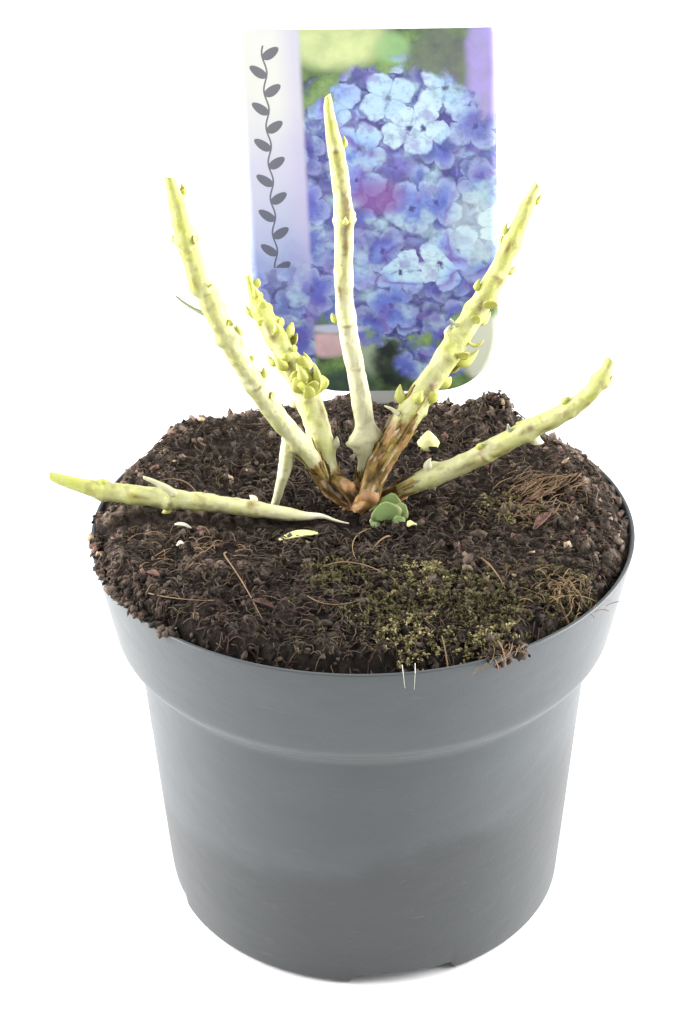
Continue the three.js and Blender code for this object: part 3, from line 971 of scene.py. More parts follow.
def heap_surface(ground):
    """The heap: the ground's height over a disc, pushed outwards over the rim where it is heaped, and a
    skirt of rings that follows the pot's inner wall down to its base."""
    pot = bpy.context.scene.hydrangea_pot
    edge = RIM_RADIUS - pot.wall - 0.35 * MM
    x, y = disc_grid(HEAP_CELLS, edge)
    z = ground.height(x, y)
    out = np.hypot(x, y)
    spill = hump(np.degrees(np.arctan2(y, x)) % 360, 205, 7)
    push = 1 + spill * 1.6 * MM * ease(out, 0.9 * edge, edge) / edge
    shift = rough(points_at(x, y), 3.0 * MM, 61, 2) * 0.35 * MM * ease(edge - out, 0, 4 * MM)
    top = points_at(x * push + shift, y * push - shift, z)
    index = numbered(*top.shape[:2])
    round_edge = np.concatenate([index[:, 0], index[-1, 1:], index[-2::-1, -1], index[0, -2:0:-1]])
    brink = top.reshape(-1, 3)[round_edge]
    bearing = np.arctan2(brink[:, 1], brink[:, 0])
    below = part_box("compost")[0].z
    floor = pot.base_lift + pot.wall + 0.3 * MM
    tucked = np.minimum(brink[:, 2], RIM_HEIGHT) - MM
    fitted = [
        (edge - 0.4 * MM, tucked),
        (pot.collar_radius - pot.wall - 0.4 * MM, RIM_HEIGHT - pot.collar),
        (pot.shoulder_radius - pot.wall - 0.4 * MM, RIM_HEIGHT - pot.collar - pot.shoulder),
        (pot.foot_radius - pot.wall, floor),
        (pot.pad_radius + pot.ring / 2, floor),
        (pot.pad_radius, below),
    ]
    rings = np.array([circle(r, bearing, z) for r, z in fitted])
    first = top.shape[0] * top.shape[1]
    ring_index = first + numbered(*rings.shape[:2])
    skirt = np.concatenate([round_edge[None], ring_index])
    pole = first + ring_index.size
    fan = np.stack([np.roll(ring_index[-1], -1), ring_index[-1], np.full(len(bearing), pole)], axis=-1)
    points = np.concatenate([top.reshape(-1, 3), rings.reshape(-1, 3), [[0, 0, below]]])
    upward = grid_quads(index)[:, ::-1]
    # proud: how far the relief stands out; the finish darkens low places with it as a painted shade.
    proud = np.zeros(len(points))
    proud[:first] = np.clip(0.4 + ground.bumps(x, y).reshape(-1) / (4.5 * MM), 0, 1)
    return Shell(points, [upward, grid_quads(skirt, closed=True)[:, ::-1], fan], proud=proud)


LUMP_RINGS = 3
LUMP_SIDES = 6
LUMP_JAG = 0.27
LUMP_STRETCH = (1.5, 0.95, 0.6)


def lump_form():
    """A unit ball of a few dozen faces: rings between two poles."""
    tilt = np.linspace(-0.5, 0.5, LUMP_RINGS + 2)[1:-1, None] * math.pi
    a = ring_angles(LUMP_SIDES)
    grid = circle(np.cos(tilt), a, np.sin(tilt))
    return closed_rings(grid, [0, 0, -1], [0, 0, 1])


def turns(rng, number):
    """Random turns, as the matrices of random unit quaternions."""
    w, x, y, z = unit(rng.normal(size=(number, 4))).T
    rows = [
        [1 - 2 * (y * y + z * z), 2 * (x * y - w * z), 2 * (x * z + w * y)],
        [2 * (x * y + w * z), 1 - 2 * (x * x + z * z), 2 * (y * z - w * x)],
        [2 * (x * z - w * y), 2 * (y * z + w * x), 1 - 2 * (x * x + y * y)],
    ]
    return np.array(rows).transpose(2, 0, 1)


def lumps(rng, places, sizes):
    """A lump at each place: the unit ball with each corner moved in or out, stretched, turned and sized."""
    form = lump_form()
    number = len(places)
    jagged = 1 + LUMP_JAG * rng.normal(size=(number, len(form.points), 1))
    own = np.array(LUMP_STRETCH) * rng.uniform(0.8, 1.25, (number, 1, 3))
    points = form.points * jagged * own
    points = np.einsum("nij,nkj->nki", turns(rng, number), points) * sizes[:, None, None] + places[:, None]
    shift = np.arange(number)[:, None, None] * len(form.points)
    return Shell(points, [(f + shift).reshape(-1, f.shape[1]) for f in form.faces])


def on_heap(rng, number, ground, reach):
    """Random places spread evenly over the heap."""
    out, bearing = reach * np.sqrt(rng.uniform(size=number)), rng.uniform(0, TURN, number)
    x, y = out * np.cos(bearing), out * np.sin(bearing)
    return x, y, ground.height(x, y)


# Where crumbs are heaped beside the wall: bearings in degrees from one to another, how many, how far in
# from the rim's outer edge they start and end, and how high they pile, in millimetres.
HEAPED = (
    (135, 146, 160, 14.0, 3.5, 2.0), (118, 134, 100, 12.0, 3.0, 1.0), (50, 54.5, 110, 12.0, 5.0, 6.2),
    (54, 63, 120, 18.0, 3.0, 2.4), (60, 72, 160, 20.0, 3.0, 1.6), (26, 40, 110, 9.0, 3.0, 2.4),
    (200, 212, 90, 5.5, -0.3, 0.5), (208, 229, 190, 5.5, -0.2, 0.6), (176, 200, 150, 5.0, 0.2, 0.4),
    (294, 303, 90, 7.0, -1.6, 1.4),
)


def heaped(rng, ground):
    """Places where crumbs are heaped beside the wall, and over the rim where they reach past it."""
    x, y, z = [], [], []
    for first, last, number, inner, outer, high in HEAPED:
        bearing = np.radians(rng.uniform(first, last, number))
        out = RIM_RADIUS - rng.uniform(outer, inner, number) * MM
        fade = np.sin(math.pi * (np.degrees(bearing) - first) / (last - first)) ** 0.5
        fade = fade * np.sin(math.pi * (RIM_RADIUS - out - outer * MM) / ((inner - outer) * MM)) ** 0.5
        x.append(out * np.cos(bearing))
        y.append(out * np.sin(bearing))
        inside = np.minimum(out, RIM_RADIUS - 2.6 * MM) / out
        base = ground.height(x[-1] * inside, y[-1] * inside)
        over = ease(out, RIM_RADIUS - 2.8 * MM, RIM_RADIUS - 0.8 * MM)
        base = np.where(over > 0, np.maximum(blend(base, RIM_HEIGHT, over), RIM_HEIGHT - 0.2 * MM), base)
        base = base - ease(out, RIM_RADIUS, RIM_RADIUS + 1.6 * MM) * 2.4 * MM
        z.append(base + rng.uniform(0, 1, number) ** 1.5 * high * MM * fade)
    return [np.concatenate(part) for part in (x, y, z)]


def off_lying_cane(x, y, room):
    """True where a place keeps that far from the lying cane on plan."""
    line = LYING.at(np.linspace(0, 1, 60))[:, :2]
    return np.linalg.norm(np.stack([x, y], axis=-1)[..., None, :] - line, axis=-1).min(axis=-1) > room


# How far out from the middle crumbs, fibres and moss start, and no thread runs further than the last.
CRUMB_REACH = 91.4 * MM
FIBRE_REACH = 90 * MM
MOSS_REACH = 92 * MM
THREAD_LIMIT = 93 * MM
# How far crumbs and threads keep from the middle line of the lying cane.
CRUMB_ROOM = 4.2 * MM
THREAD_ROOM = 3.6 * MM
CRUMB_SIZE = 0.66  # the size in millimetres that half of the crumbs are under
LARGEST_CRUMB = 2.1 * MM
# Crumbs: name, share of them all, and the two colours of their peat, each with how light it is.
CRUMB_KINDS = (
    ("dark", 0.50, ("dark", 0.8), ("brown", 0.8)),
    ("brown", 0.38, ("brown", 0.7), ("brown", 1.6)),
    ("red", 0.08, ("red", 0.6), ("red", 1.25)),
    ("tan", 0.04, ("tan", 0.55), ("tan", 1.0)),
)


def make_compost(s):
    """The heap of compost in the pot."""
    ground = Ground(s.relief)
    make_piece("compost_heap", [heap_surface(ground)], [heap_peat(s)], replaced=["compost"])


def make_crumbs(s):
    """Loose crumbs, strewn evenly and heaped beside the wall. The logarithm of their size scatters
    normally."""
    rng = np.random.default_rng(SEEDS["crumbs"])
    ground = Ground(s.relief)
    strewn = on_heap(rng, s.crumbs, ground, CRUMB_REACH)
    x, y, z = np.concatenate([strewn, heaped(rng, ground)], axis=1)
    sizes = np.exp(rng.normal(math.log(CRUMB_SIZE), 0.45, len(x))) * MM
    sizes = np.minimum(sizes, LARGEST_CRUMB)
    keep = off_lying_cane(x, y, CRUMB_ROOM)
    x, y, z, sizes = x[keep], y[keep], z[keep], sizes[keep]
    places = points_at(x, y, z + 0.1 * sizes)
    kind = rng.choice(len(CRUMB_KINDS), len(x), p=[row[1] for row in CRUMB_KINDS])
    for number, (name, _, *colours) in enumerate(CRUMB_KINDS):
        own = kind == number
        dark, light = (shade(getattr(s, colour), level) for colour, level in colours)
        finish = peat(f"crumb_{name}", dark, light, size=0.006)
        make_piece(f"crumbs_{name}", [lumps(rng, places[own], sizes[own])], [finish])


THREAD_STEPS = 5


def strewn_threads(rng, ground, number, reach, long, thick):
    """Threads that lie on the heap. Each is an arc on plan whose heading turns evenly. Its height goes
    straight from the ground under one end to the ground under the other, plus a low hump."""
    x, y, _ = on_heap(rng, number, ground, reach)
    size = rng.uniform(*long, number) * MM
    heading = rng.uniform(0, TURN, number)
    bend = rng.normal(0, 0.8, number)
    t = np.linspace(0, 1, THREAD_STEPS)
    turn = heading[:, None] + bend[:, None] * t
    wobble = rng.normal(0, 0.3, (number, THREAD_STEPS))
    px = x[:, None] + size[:, None] * np.cumsum(np.cos(turn + wobble), axis=1) / THREAD_STEPS
    py = y[:, None] + size[:, None] * np.cumsum(np.sin(turn + wobble), axis=1) / THREAD_STEPS
    out = np.hypot(px, py)
    inside = np.minimum(1.0, THREAD_LIMIT / np.maximum(out, MM))
    px, py = px * inside, py * inside
    ends = ground.height(px[:, [0, -1]], py[:, [0, -1]])
    here = ground.level(px, py) + 0.7 * MM
    pz = 0.5 * blend(ends[:, :1], ends[:, 1:], t) + 0.5 * here
    pz += rng.uniform(0.1, 0.9, number)[:, None] * MM * np.sin(math.pi * t) + 0.15 * MM
    radius = rng.uniform(*thick, number)[:, None] * MM * (0.55 + 0.45 * np.sin(math.pi * (0.1 + 0.85 * t)))
    paths = points_at(px, py, pz)
    keep = off_lying_cane(px, py, THREAD_ROOM).all(axis=1)
    return hairs(paths[keep], radius[keep])


# Fibres: name, share of them all, shortest and longest, and thinnest and thickest in millimetres, and their
# colour with how light it is.
FIBRE_KINDS = (
    ("dark", 0.38, (2, 8), (0.12, 0.34), "brown", 0.5),
    ("brown", 0.32, (2, 9), (0.10, 0.28), "brown", 1.3),
    ("red", 0.12, (2, 8), (0.10, 0.28), "red", 1.1),
    ("olive", 0.10, (2, 7), (0.08, 0.18), "moss", 0.8),
    ("tan", 0.08, (2, 11), (0.06, 0.14), "tan", 0.8),
)


def make_fibres(s):
    """Fibres strewn evenly over the heap, one piece for each kind."""
    rng = np.random.default_rng(SEEDS["fibres"])
    ground = Ground(s.relief)
    for name, share, long, thick, colour, level in FIBRE_KINDS:
        threads = strewn_threads(rng, ground, int(s.fibres * share), FIBRE_REACH, long, thick)
        finish = plain_bits(f"fibre_{name}", shade(getattr(s, colour), level))
        make_piece(f"fibres_{name}", [threads], [finish])


SPRIG_BLADES = 11
# Patches of moss: place on the heap and spread in millimetres, and share of the sprigs.
MOSS_PATCHES = (
    (38, -60, 19, 0.27), (8, -64, 20, 0.20), (66, -52, 15, 0.15), (-8, -42, 11, 0.09), (52, 2, 10, 0.05),
    (40, -82, 10, 0.10), (16, -80, 13, 0.08), (22, -44, 9, 0.06),
)


def blades(rng, places, outward, size, width):
    """Small folded blades: each is two triangles on one rib, from its foot to its tip."""
    number = len(places)
    side = unit(np.cross(outward, rng.normal(size=(number, 3))))
    droop = -UP * 0.25 * size[:, None]
    middle = places + outward * 0.55 * size[:, None]
    lift = UP * 0.1 * size[:, None]
    tip = places + outward * size[:, None] + droop
    half = side * width * size[:, None]
    points = np.stack([places, middle + half + lift, tip, middle - half + lift], axis=1)
    start = np.arange(number)[:, None] * 4
    return Shell(points, [np.concatenate([start + [0, 1, 2], start + [0, 2, 3]])])


def make_moss(s):
    """Moss: sprigs scatter normally round the middle of each patch, and blades climb each sprig."""
    rng = np.random.default_rng(SEEDS["moss"])
    ground = Ground(s.relief)
    leaves = []
    for px, py, spread, share in MOSS_PATCHES:
        number = int(s.sprigs * share)
        x = (px + rng.normal(0, spread * 0.5, number)) * MM
        y = (py + rng.normal(0, spread * 0.5, number)) * MM
        keep = np.hypot(x, y) < MOSS_REACH
        x, y = x[keep], y[keep]
        foot = points_at(x, y, ground.height(x, y))
        foot = np.repeat(foot, SPRIG_BLADES, axis=0)
        tall = np.repeat(rng.uniform(0.8, 2.2, len(x)), SPRIG_BLADES)
        up = np.tile(np.linspace(0, 1, SPRIG_BLADES), len(x)) * tall
        a = rng.uniform(0, TURN, len(foot))
        outward = unit(circle(1.0, a, rng.uniform(0.2, 1.0, len(foot))))
        size = rng.uniform(0.8, 1.9, len(foot)) * MM
        leaves.append(blades(rng, foot + UP * up[:, None] * MM, outward, size, 0.24))
    half = len(leaves) // 2
    light = plain_bits("moss_light", shade(s.moss, 1.9), 0.8)
    deep = plain_bits("moss_deep", shade(s.moss, 0.8), 0.8)
    make_piece("moss_deep", leaves[:half], [deep])
    make_piece("moss_light", leaves[half:], [light])


# ---- Canes ----

# Each cane's habit: the shares of its length where leaves stood, the bearing of the first pair in degrees
# (the next pair stands square to it), how far peeling bark climbs it, how young its bark is at foot and
# tip, the slope of the cut at its tip, and how far past the CAD cane's tip it runs, as a share of its
# length.
HABITS = {
    "cane_left_tall": ((0.13, 0.37, 0.53, 0.69, 0.83, 0.94), 200, 0.05, (0.05, 0.95), 0.5, 0.0),
    "cane_left_inner": ((0.18, 0.42, 0.60, 0.76, 0.90), 10, 0.05, (0.25, 1.0), 0.3, 0.07),
    "cane_centre_tall": ((0.10, 0.46, 0.72, 0.90), 5, 0.02, (-0.6, 0.85), 0.6, 0.022),
    "cane_right_tall": ((0.27, 0.45, 0.60, 0.72, 0.83, 0.93), 175, 0.22, (0.35, 0.9), 0.4, 0.0),
    "cane_right_low": ((0.15, 0.38, 0.57, 0.76, 0.92), 170, 0.03, (0.25, 0.85), 0.4, 0.0),
    "cane_lying_left": ((0.32, 0.60, 0.82), 5, 0.0, (0.0, 0.8), 0.5, 0.0),
    "shoot_drooping": ((0.45,), 90, 0.0, (-0.3, 0.3), 0.2, 0.0),
}
CANE_SIDES = 36
CANE_STEP = 0.6 * MM
ROOTED = 3.5 * MM  # how far a standing cane runs on down into the stool
STOUT = {"shoot_drooping": 1.4}  # canes drawn stouter than their solids
# Dark marks on the bark of each cane: share of its length, bearing in degrees, half length and half width
# in millimetres, and strength.
BARK_MARKS = {
    "cane_centre_tall": (
        (0.7, 285, 13.0, 1.1, 0.8), (0.76, 300, 6.0, 0.9, 0.7), (0.54, 245, 5.0, 0.9, 0.8),
        (0.88, 270, 8.0, 0.8, 0.5), (0.3, 300, 6.0, 0.7, 0.4),
    ),
    "cane_left_tall": ((0.5, 345, 1.6, 1.3, 1.0), (0.3, 320, 3.0, 0.9, 0.6), (0.72, 250, 3.5, 0.8, 0.5)),
    "cane_left_inner": (
        (0.7, 215, 1.4, 1.3, 1.0), (0.52, 250, 3.0, 1.2, 0.7), (0.34, 330, 4.5, 1.0, 0.6),
        (0.6, 280, 3.0, 1.1, 0.7), (0.78, 270, 3.0, 1.0, 0.7),
    ),
    "cane_right_tall": (
        (0.34, 285, 4.5, 1.6, 0.7), (0.47, 300, 2.4, 1.2, 0.6), (0.62, 260, 3.0, 1.0, 0.8),
        (0.7, 300, 3.4, 0.9, 0.8), (0.8, 250, 2.6, 0.8, 0.7), (0.88, 290, 3.2, 0.7, 0.6),
    ),
    "cane_right_low": (
        (0.3, 265, 5.0, 1.0, 0.8), (0.44, 300, 5.5, 1.1, 0.8), (0.5, 120, 1.6, 1.3, 1.0),
        (0.66, 285, 4.0, 0.9, 0.7), (0.84, 300, 3.4, 0.8, 0.6), (0.36, 230, 4.0, 0.9, 0.7),
        (0.58, 240, 3.0, 1.0, 0.8), (0.74, 250, 3.0, 0.9, 0.7),
    ),
    "cane_lying_left": ((0.33, 330, 1.4, 1.3, 1.0), (0.48, 275, 4.0, 0.9, 0.6), (0.7, 290, 3.6, 0.8, 0.6)),
}


# Burrs and collars on the canes: share of the length, bearing in degrees, how far it stands out and its
# half length in millimetres, and its half width in degrees.
BURRS = {
    "cane_centre_tall": ((0.125, 182, 3.3, 3.2, 48), (0.145, 352, 2.8, 2.6, 42), (0.13, 270, 1.0, 3.6, 70)),
    "cane_right_low": ((0.165, 120, 1.4, 2.4, 50),),
    "cane_left_tall": ((0.53, 350, 1.1, 2.0, 40), (0.69, 185, 0.9, 1.8, 40)),
    "cane_right_tall": ((0.5, 185, 1.4, 2.2, 45), (0.66, 10, 1.2, 2.0, 45)),
    "cane_lying_left": ((0.6, 200, 1.3, 2.0, 40),),
}


def cane_surface(name, s):
    """The bark of one cane: its radius, times streaks and bumps of noise, plus a swelling at each node
    and a ledge under each leaf scar. Its marks say where it is young, scarred, streaked, barky and turned
    down."""
    line = LINES[name]
    nodes, turn, bark, youth, slope, beyond = HABITS[name]
    rng = np.random.default_rng(len(name) * 31 + int(turn))
    lying = line is LYING
    foot = 0.0 if lying else -ROOTED / line.length
    t = np.linspace(foot, 1.0 + beyond, int(line.length / CANE_STEP))
    path = line.at(t)
    _, ring, a = rings_round(path, CANE_SIDES)
    slim = 1.05 - 0.04 * ease(t, 0.3, 1.0) - 0.35 * ease(t, 1.0, 1.0 + max(beyond, 0.001))
    radius = line.radius(t) * slim * STOUT.get(name, 1.0)
    whole = ease(t, 0.02, 0.22) if lying else np.ones_like(t)
    radius = blend(0.42, 1.0, whole) * np.maximum(radius, 2.4 * MM * (1 - (whole == 1)) * whole)
    path[:, 2] += 1.2 * MM * hump(t, 0.09, 0.04) * (whole < 1)
    radius = radius[:, None] + np.zeros(CANE_SIDES)
    skin = tube(path, radius, ring)
    grain = circle(radius, a, (t * line.length * 0.3)[:, None])
    streaks = rough(grain, 1.5 * MM, 3, 2)
    bumps = rough(skin, 6.0 * MM, 17, 3)
    pits = rough(skin, 1.8 * MM, 29, 2)
    radius = radius * (1 + s.relief * (0.045 * streaks + 0.15 * bumps + 0.06 * pits))
    scar = np.zeros_like(radius)
    for number, node in enumerate(nodes):
        off = ((t - node) * line.length)[:, None]
        swell = rng.uniform(0.04, 0.13) * hump(off, 0.0, 2.4 * MM) * radius
        for opposite, strength in zip((0, 180), rng.uniform(0.15, 1.0, 2)):
            apart = angle_apart(a, math.radians(turn + 90 * (number % 2) + opposite))
            off_side = off + rng.normal(0, 0.5) * MM
            swell = swell + strength * 0.95 * MM * hump(apart, 0.0, 0.6) * hump(off_side, -0.4 * MM, 1.5 * MM)
            scar = scar + strength * hump(apart, 0.0, 0.45) * hump(off_side, -1.0 * MM, 0.7 * MM)
        radius = radius + s.relief * swell
    for share, bearing, high, half, wide in BURRS.get(name, ()):
        apart = hump(angle_apart(a, math.radians(bearing)), 0.0, math.radians(wide))
        off = ((t - share) * line.length)[:, None]
        radius = radius + high * MM * apart * hump(off, 0.0, half * MM) * (1 + 0.5 * bumps + 0.35 * pits)
    for share, bearing, half, wide, strength in BARK_MARKS.get(name, ()):
        apart = angle_apart(a, math.radians(bearing)) * radius
        mark = hump(apart, 0.0, wide * MM) * hump(((t - share) * line.length)[:, None], 0.0, half * MM)
        scar = scar + 1.3 * strength * mark * (1 + 0.8 * pits)
    fleck = ease(rough(skin, 2.6 * MM, 47, 2), 0.3, 0.5)
    none = np.zeros_like(radius)
    marks = {
        "young": np.clip(blend(*youth, np.clip(t, 0, 1))[:, None] + 0.35 * bumps + 0.2 * streaks, 0, 1),
        "scar": np.clip(0.9 * scar + 0.35 * fleck, 0, 1),
        "streak": ease(streaks, 0.18, 0.55),
        "barky": ease(bark + 0.05 * bumps - t[:, None], -0.02, 0.03) if bark else none,
        # below: how far the bark faces down, used for the painted shade on the under side.
        "below": np.clip(-ring[..., 2], 0, 1),
        "heel": ease(0.15 + 0.03 * streaks - t[:, None], 0.0, 0.02) if lying else none,
    }
    end = ROUND_END if name == "shoot_drooping" else FLAT_END
    return carry(path, radius, end=end, slope=slope, slope_bearing=math.radians(turn), **marks)


def cane_bark(s):
    """Smooth young bark: cream to green by its age, darker and greener below (a painted shade over a green
    tint), brown on scars, bare wood on cuts, with fine streaks along it and small raised pores."""
    f = Finish("cane_bark")
    soft = f.grain(0.004, detail=4.0)
    fine = f.grain(0.0011, detail=4.0, roughness=0.6)
    young = f.plus(f.mark("young"), f.range(soft, -0.35, 0.35), clamp=True)
    colour = f.mix(young, s.cream, s.green)
    # The under side painted darker and greener: a painted shade over a real green tint.
    below = f.times(f.step(f.mark("below"), 0.05, 0.9), f.range(soft, 0.75, 1.0))
    colour = f.mix(below, colour, s.shade)
    colour = f.mix(f.times(f.step(fine, 0.56, 0.72), 0.4), colour, shade(s.cream, 1.12))
    streak = f.times(f.mark("streak"), f.range(soft, -0.1, 0.5), clamp=True)
    colour = f.mix(streak, colour, shade(s.shade, 1.3))
    pores = f.node("ShaderNodeTexVoronoi", {"Vector": f.place(), "Scale": 620.0}).outputs[0]
    spots = f.times(f.rest(f.step(pores, 0.08, 0.2)), f.step(soft, 0.5, 0.62))
    colour = f.mix(f.times(spots, 0.6), colour, shade(s.scar, 2.0))
    brown = ramp(f, fine, ((0.3, shade(s.scar, 0.5)), (0.7, shade(s.scar, 1.6))))
    colour = f.mix(f.times(f.mark("scar"), f.range(fine, 0.6, 1.2), clamp=True), colour, brown)
    colour = f.mix(f.mark("barky"), colour, shade(s.bark, 1.2))
    colour = f.mix(f.maths("MAXIMUM", f.mark("cut"), f.mark("heel")), colour, s.wood)
    normal = f.bump(fine, 0.00028, f.bump(spots, 0.00012))
    return f.wear(colour, f.range(soft, 0.5, 0.72), normal)


def make_canes(s):
    """The bark of each cane, all in one finish."""
    finish = cane_bark(s)
    for name in CANES:
        piece = name.replace("cane", "stem") if name.startswith("cane") else "stem_drooping"
        make_piece(piece, [cane_surface(name, s)], [finish], replaced=[name])


# ---- Buds and twigs ----


def bud(foot, out, onward, size, width, sides=14, rows=13):
    """A bud: a quadratic path that leaves the bark along out and bends onward, with a radius that swells
    by the sine of the share^0.7 and closes at the tip. Pairs of scales overlap: each scale's free edge
    stands proud at a share that rises and falls twice round the bud."""
    t = np.linspace(0.0, 0.985, rows)[:, None]
    bend = foot + out * size * 0.45
    tip = foot + unit(out * 0.55 + onward) * size
    path = bent(foot - out * width * 0.2, bend, tip, t)
    a = ring_angles(sides)
    full = width / 2 * (0.45 + 0.55 * np.sin(math.pi * np.minimum(t, 1) ** 0.7)) * (1 - t**3) ** 0.6
    lap = 0.0
    for number, edge in enumerate((0.34, 0.62, 0.88)):
        rise = edge + 0.11 * np.cos(2 * a + math.pi * number) - t
        lap = lap + np.where(rise > 0, 0.12 * np.exp(-rise * 11), 0.0)
    radius = full * (1 + lap)
    age = np.broadcast_to(1 - t, radius.shape)
    return carry(path, radius, young=age, edge=np.clip(lap / 0.12, 0, 1))


# Buds that stand out on each cane: share of its length, bearing in degrees, length and width in
# millimetres, how far the bud leans along the cane, and its kind.
BUDS = {
    "cane_left_tall": (
        (0.13, 200, 2.4, 2.6, 0.8, "green"), (0.37, 8, 4.2, 2.6, 1.0, "green"),
        (0.53, 350, 3.6, 2.8, 2.0, "green"), (0.83, 175, 2.6, 2.4, 2.4, "green"),
        (0.95, 20, 3.4, 2.6, 3.0, "green"),
    ),
    "cane_left_inner": (
        (0.18, 355, 3.6, 3.2, 0.9, "pale"), (0.42, 180, 4.4, 3.4, 0.8, "pale"),
        (0.46, 345, 8.5, 3.8, 1.0, "green"), (0.5, 300, 7.0, 4.2, 1.3, "green"),
        (0.55, 20, 6.0, 3.4, 1.6, "green"), (0.6, 255, 6.5, 3.8, 1.2, "green"),
        (0.64, 190, 4.6, 3.0, 1.5, "green"), (0.76, 310, 4.4, 3.0, 1.6, "green"),
        (0.9, 200, 4.0, 2.4, 2.4, "green"), (0.97, 300, 4.6, 2.6, 3.0, "green"),
    ),
    "cane_centre_tall": (
        (0.46, 190, 3.2, 3.0, 0.9, "green"), (0.72, 280, 2.6, 2.0, 1.4, "green"),
        (0.9, 10, 3.4, 2.2, 2.0, "green"),
    ),
    "cane_right_tall": (
        (0.27, 175, 6.0, 4.2, 0.6, "green"), (0.3, 250, 4.4, 3.8, 0.9, "green"),
        (0.45, 352, 8.5, 4.4, 1.0, "green"), (0.5, 185, 3.8, 2.6, 1.5, "pale"),
        (0.58, 20, 5.2, 3.2, 1.4, "green"), (0.66, 190, 3.6, 2.6, 1.3, "green"),
        (0.74, 5, 3.6, 2.4, 1.6, "green"), (0.84, 180, 3.8, 2.4, 1.8, "green"),
        (0.95, 10, 3.8, 2.2, 2.6, "green"),
    ),
    "cane_right_low": (
        (0.15, 185, 5.0, 3.0, 0.4, "pale"), (0.38, 200, 2.8, 2.4, 1.0, "green"),
        (0.57, 5, 4.6, 4.0, 0.3, "pale"), (0.76, 190, 3.2, 2.4, 1.6, "green"),
        (0.92, 15, 3.2, 2.2, 2.2, "green"),
    ),
    "cane_lying_left": (
        (0.32, 20, 2.8, 2.8, 0.6, "pale"), (0.6, 200, 3.0, 3.2, 0.6, "green"),
        (0.82, 350, 3.0, 2.4, 1.6, "green"),
    ),
}


# Dead twigs and side shoots: foot and tip in millimetres, radius, how far the middle bows outwards, and
# kind.
TWIGS = (
    ((-50.2, -12.5, 233.6), (-59.6, -14.0, 240.8), 0.75, -0.8, "grey"),
    ((12.5, 4.5, 188.0), (8.0, 5.0, 190.6), 0.8, 0.3, "pale"),
    ((-64.6, -6.4, 163.4), (-75.0, -5.4, 169.3), 1.3, 0.5, "pale"),
    ((50.6, -2.0, 183.6), (49.6, -3.6, 187.6), 0.9, 0.0, "grey"),
    ((33.0, 16.0, 215.0), (30.4, 15.0, 218.4), 0.7, 0.0, "grey"),
)


def bud_finish(name, colour, tip, s):
    """Bud scales: one colour at the foot and another at the tip, with brown papery edges."""
    f = Finish(name)
    soft = f.grain(0.0025, detail=4.0)
    share = f.plus(f.mark("young"), f.range(soft, -0.3, 0.3), clamp=True)
    tint = f.mix(share, tip, colour)
    brown = f.times(f.step(f.mark("edge"), 0.55, 1.0), f.range(soft, 0.2, 0.75))
    tint = f.mix(brown, tint, shade(s.scar, 2.2))
    return f.wear(tint, f.range(soft, 0.42, 0.62), f.bump(f.grain(0.0007), 0.0001))


def twig(foot, tip, thick, bow, seed):
    """A short twig: a quadratic path that bows upwards, a radius that tapers, and lumps of noise."""
    t = np.linspace(0, 1, 20)[:, None]
    foot, tip = np.array(foot) * MM, np.array(tip) * MM
    path = blend(foot, tip, t) + UP * bow * MM * 4 * t * (1 - t)
    sides = 14
    _, ring, _ = rings_round(path, sides)
    radius = thick * MM * (1.15 - 0.75 * t) + np.zeros(sides)
    radius = radius * (1 + 0.22 * rough(tube(path, radius, ring), 2.2 * MM, seed, 2))
    return carry(path, radius, end=FLAT_END, slope=0.4)


# Young leaves unfolding: cane, the shares of its length between which they stand, how many, the bearings in
# degrees between which they point, and the shortest and longest in millimetres.
LEAFLETS = (
    ("cane_left_inner", (0.4, 0.52), 13, (-85, 15), (4.0, 7.5)),
    ("cane_left_inner", (0.54, 0.8), 9, (-90, 25), (2.6, 6.5)),
    ("cane_left_inner", (0.82, 1.0), 4, (-110, 20), (2.0, 4.0)),
    ("cane_right_tall", (0.3, 0.62), 7, (-100, 20), (2.6, 6.0)),
    ("cane_left_tall", (0.3, 0.95), 6, (-60, 20), (2.2, 3.6)),
)


def leaflet(rng, line, t, bearing, size):
    """A small young leaf that hugs a cane: it leaves the bark, turns up along it, and shows its face half
    outwards and half to the front."""
    foot, out, along = line.side(t, math.radians(bearing))
    way = out * rng.uniform(0.1, 0.8) + along * rng.uniform(0.6, 1.3) + rng.normal(0, 0.25, 3)
    tip = foot + unit(way) * size
    face = unit(out + TOWARDS_FRONT * rng.uniform(0.2, 1.6) + rng.normal(0, 0.5, 3))
    width, cup, bow = size * rng.uniform((0.6, -0.3, 0.0), (1.05, 0.2, 0.3))
    return leaf(foot - out * 0.8 * MM, tip, width, cup, 0.4 * MM, bow, up=face)


BARE_SCARS = 0.78  # the share of leaf scars that no small bud stands over


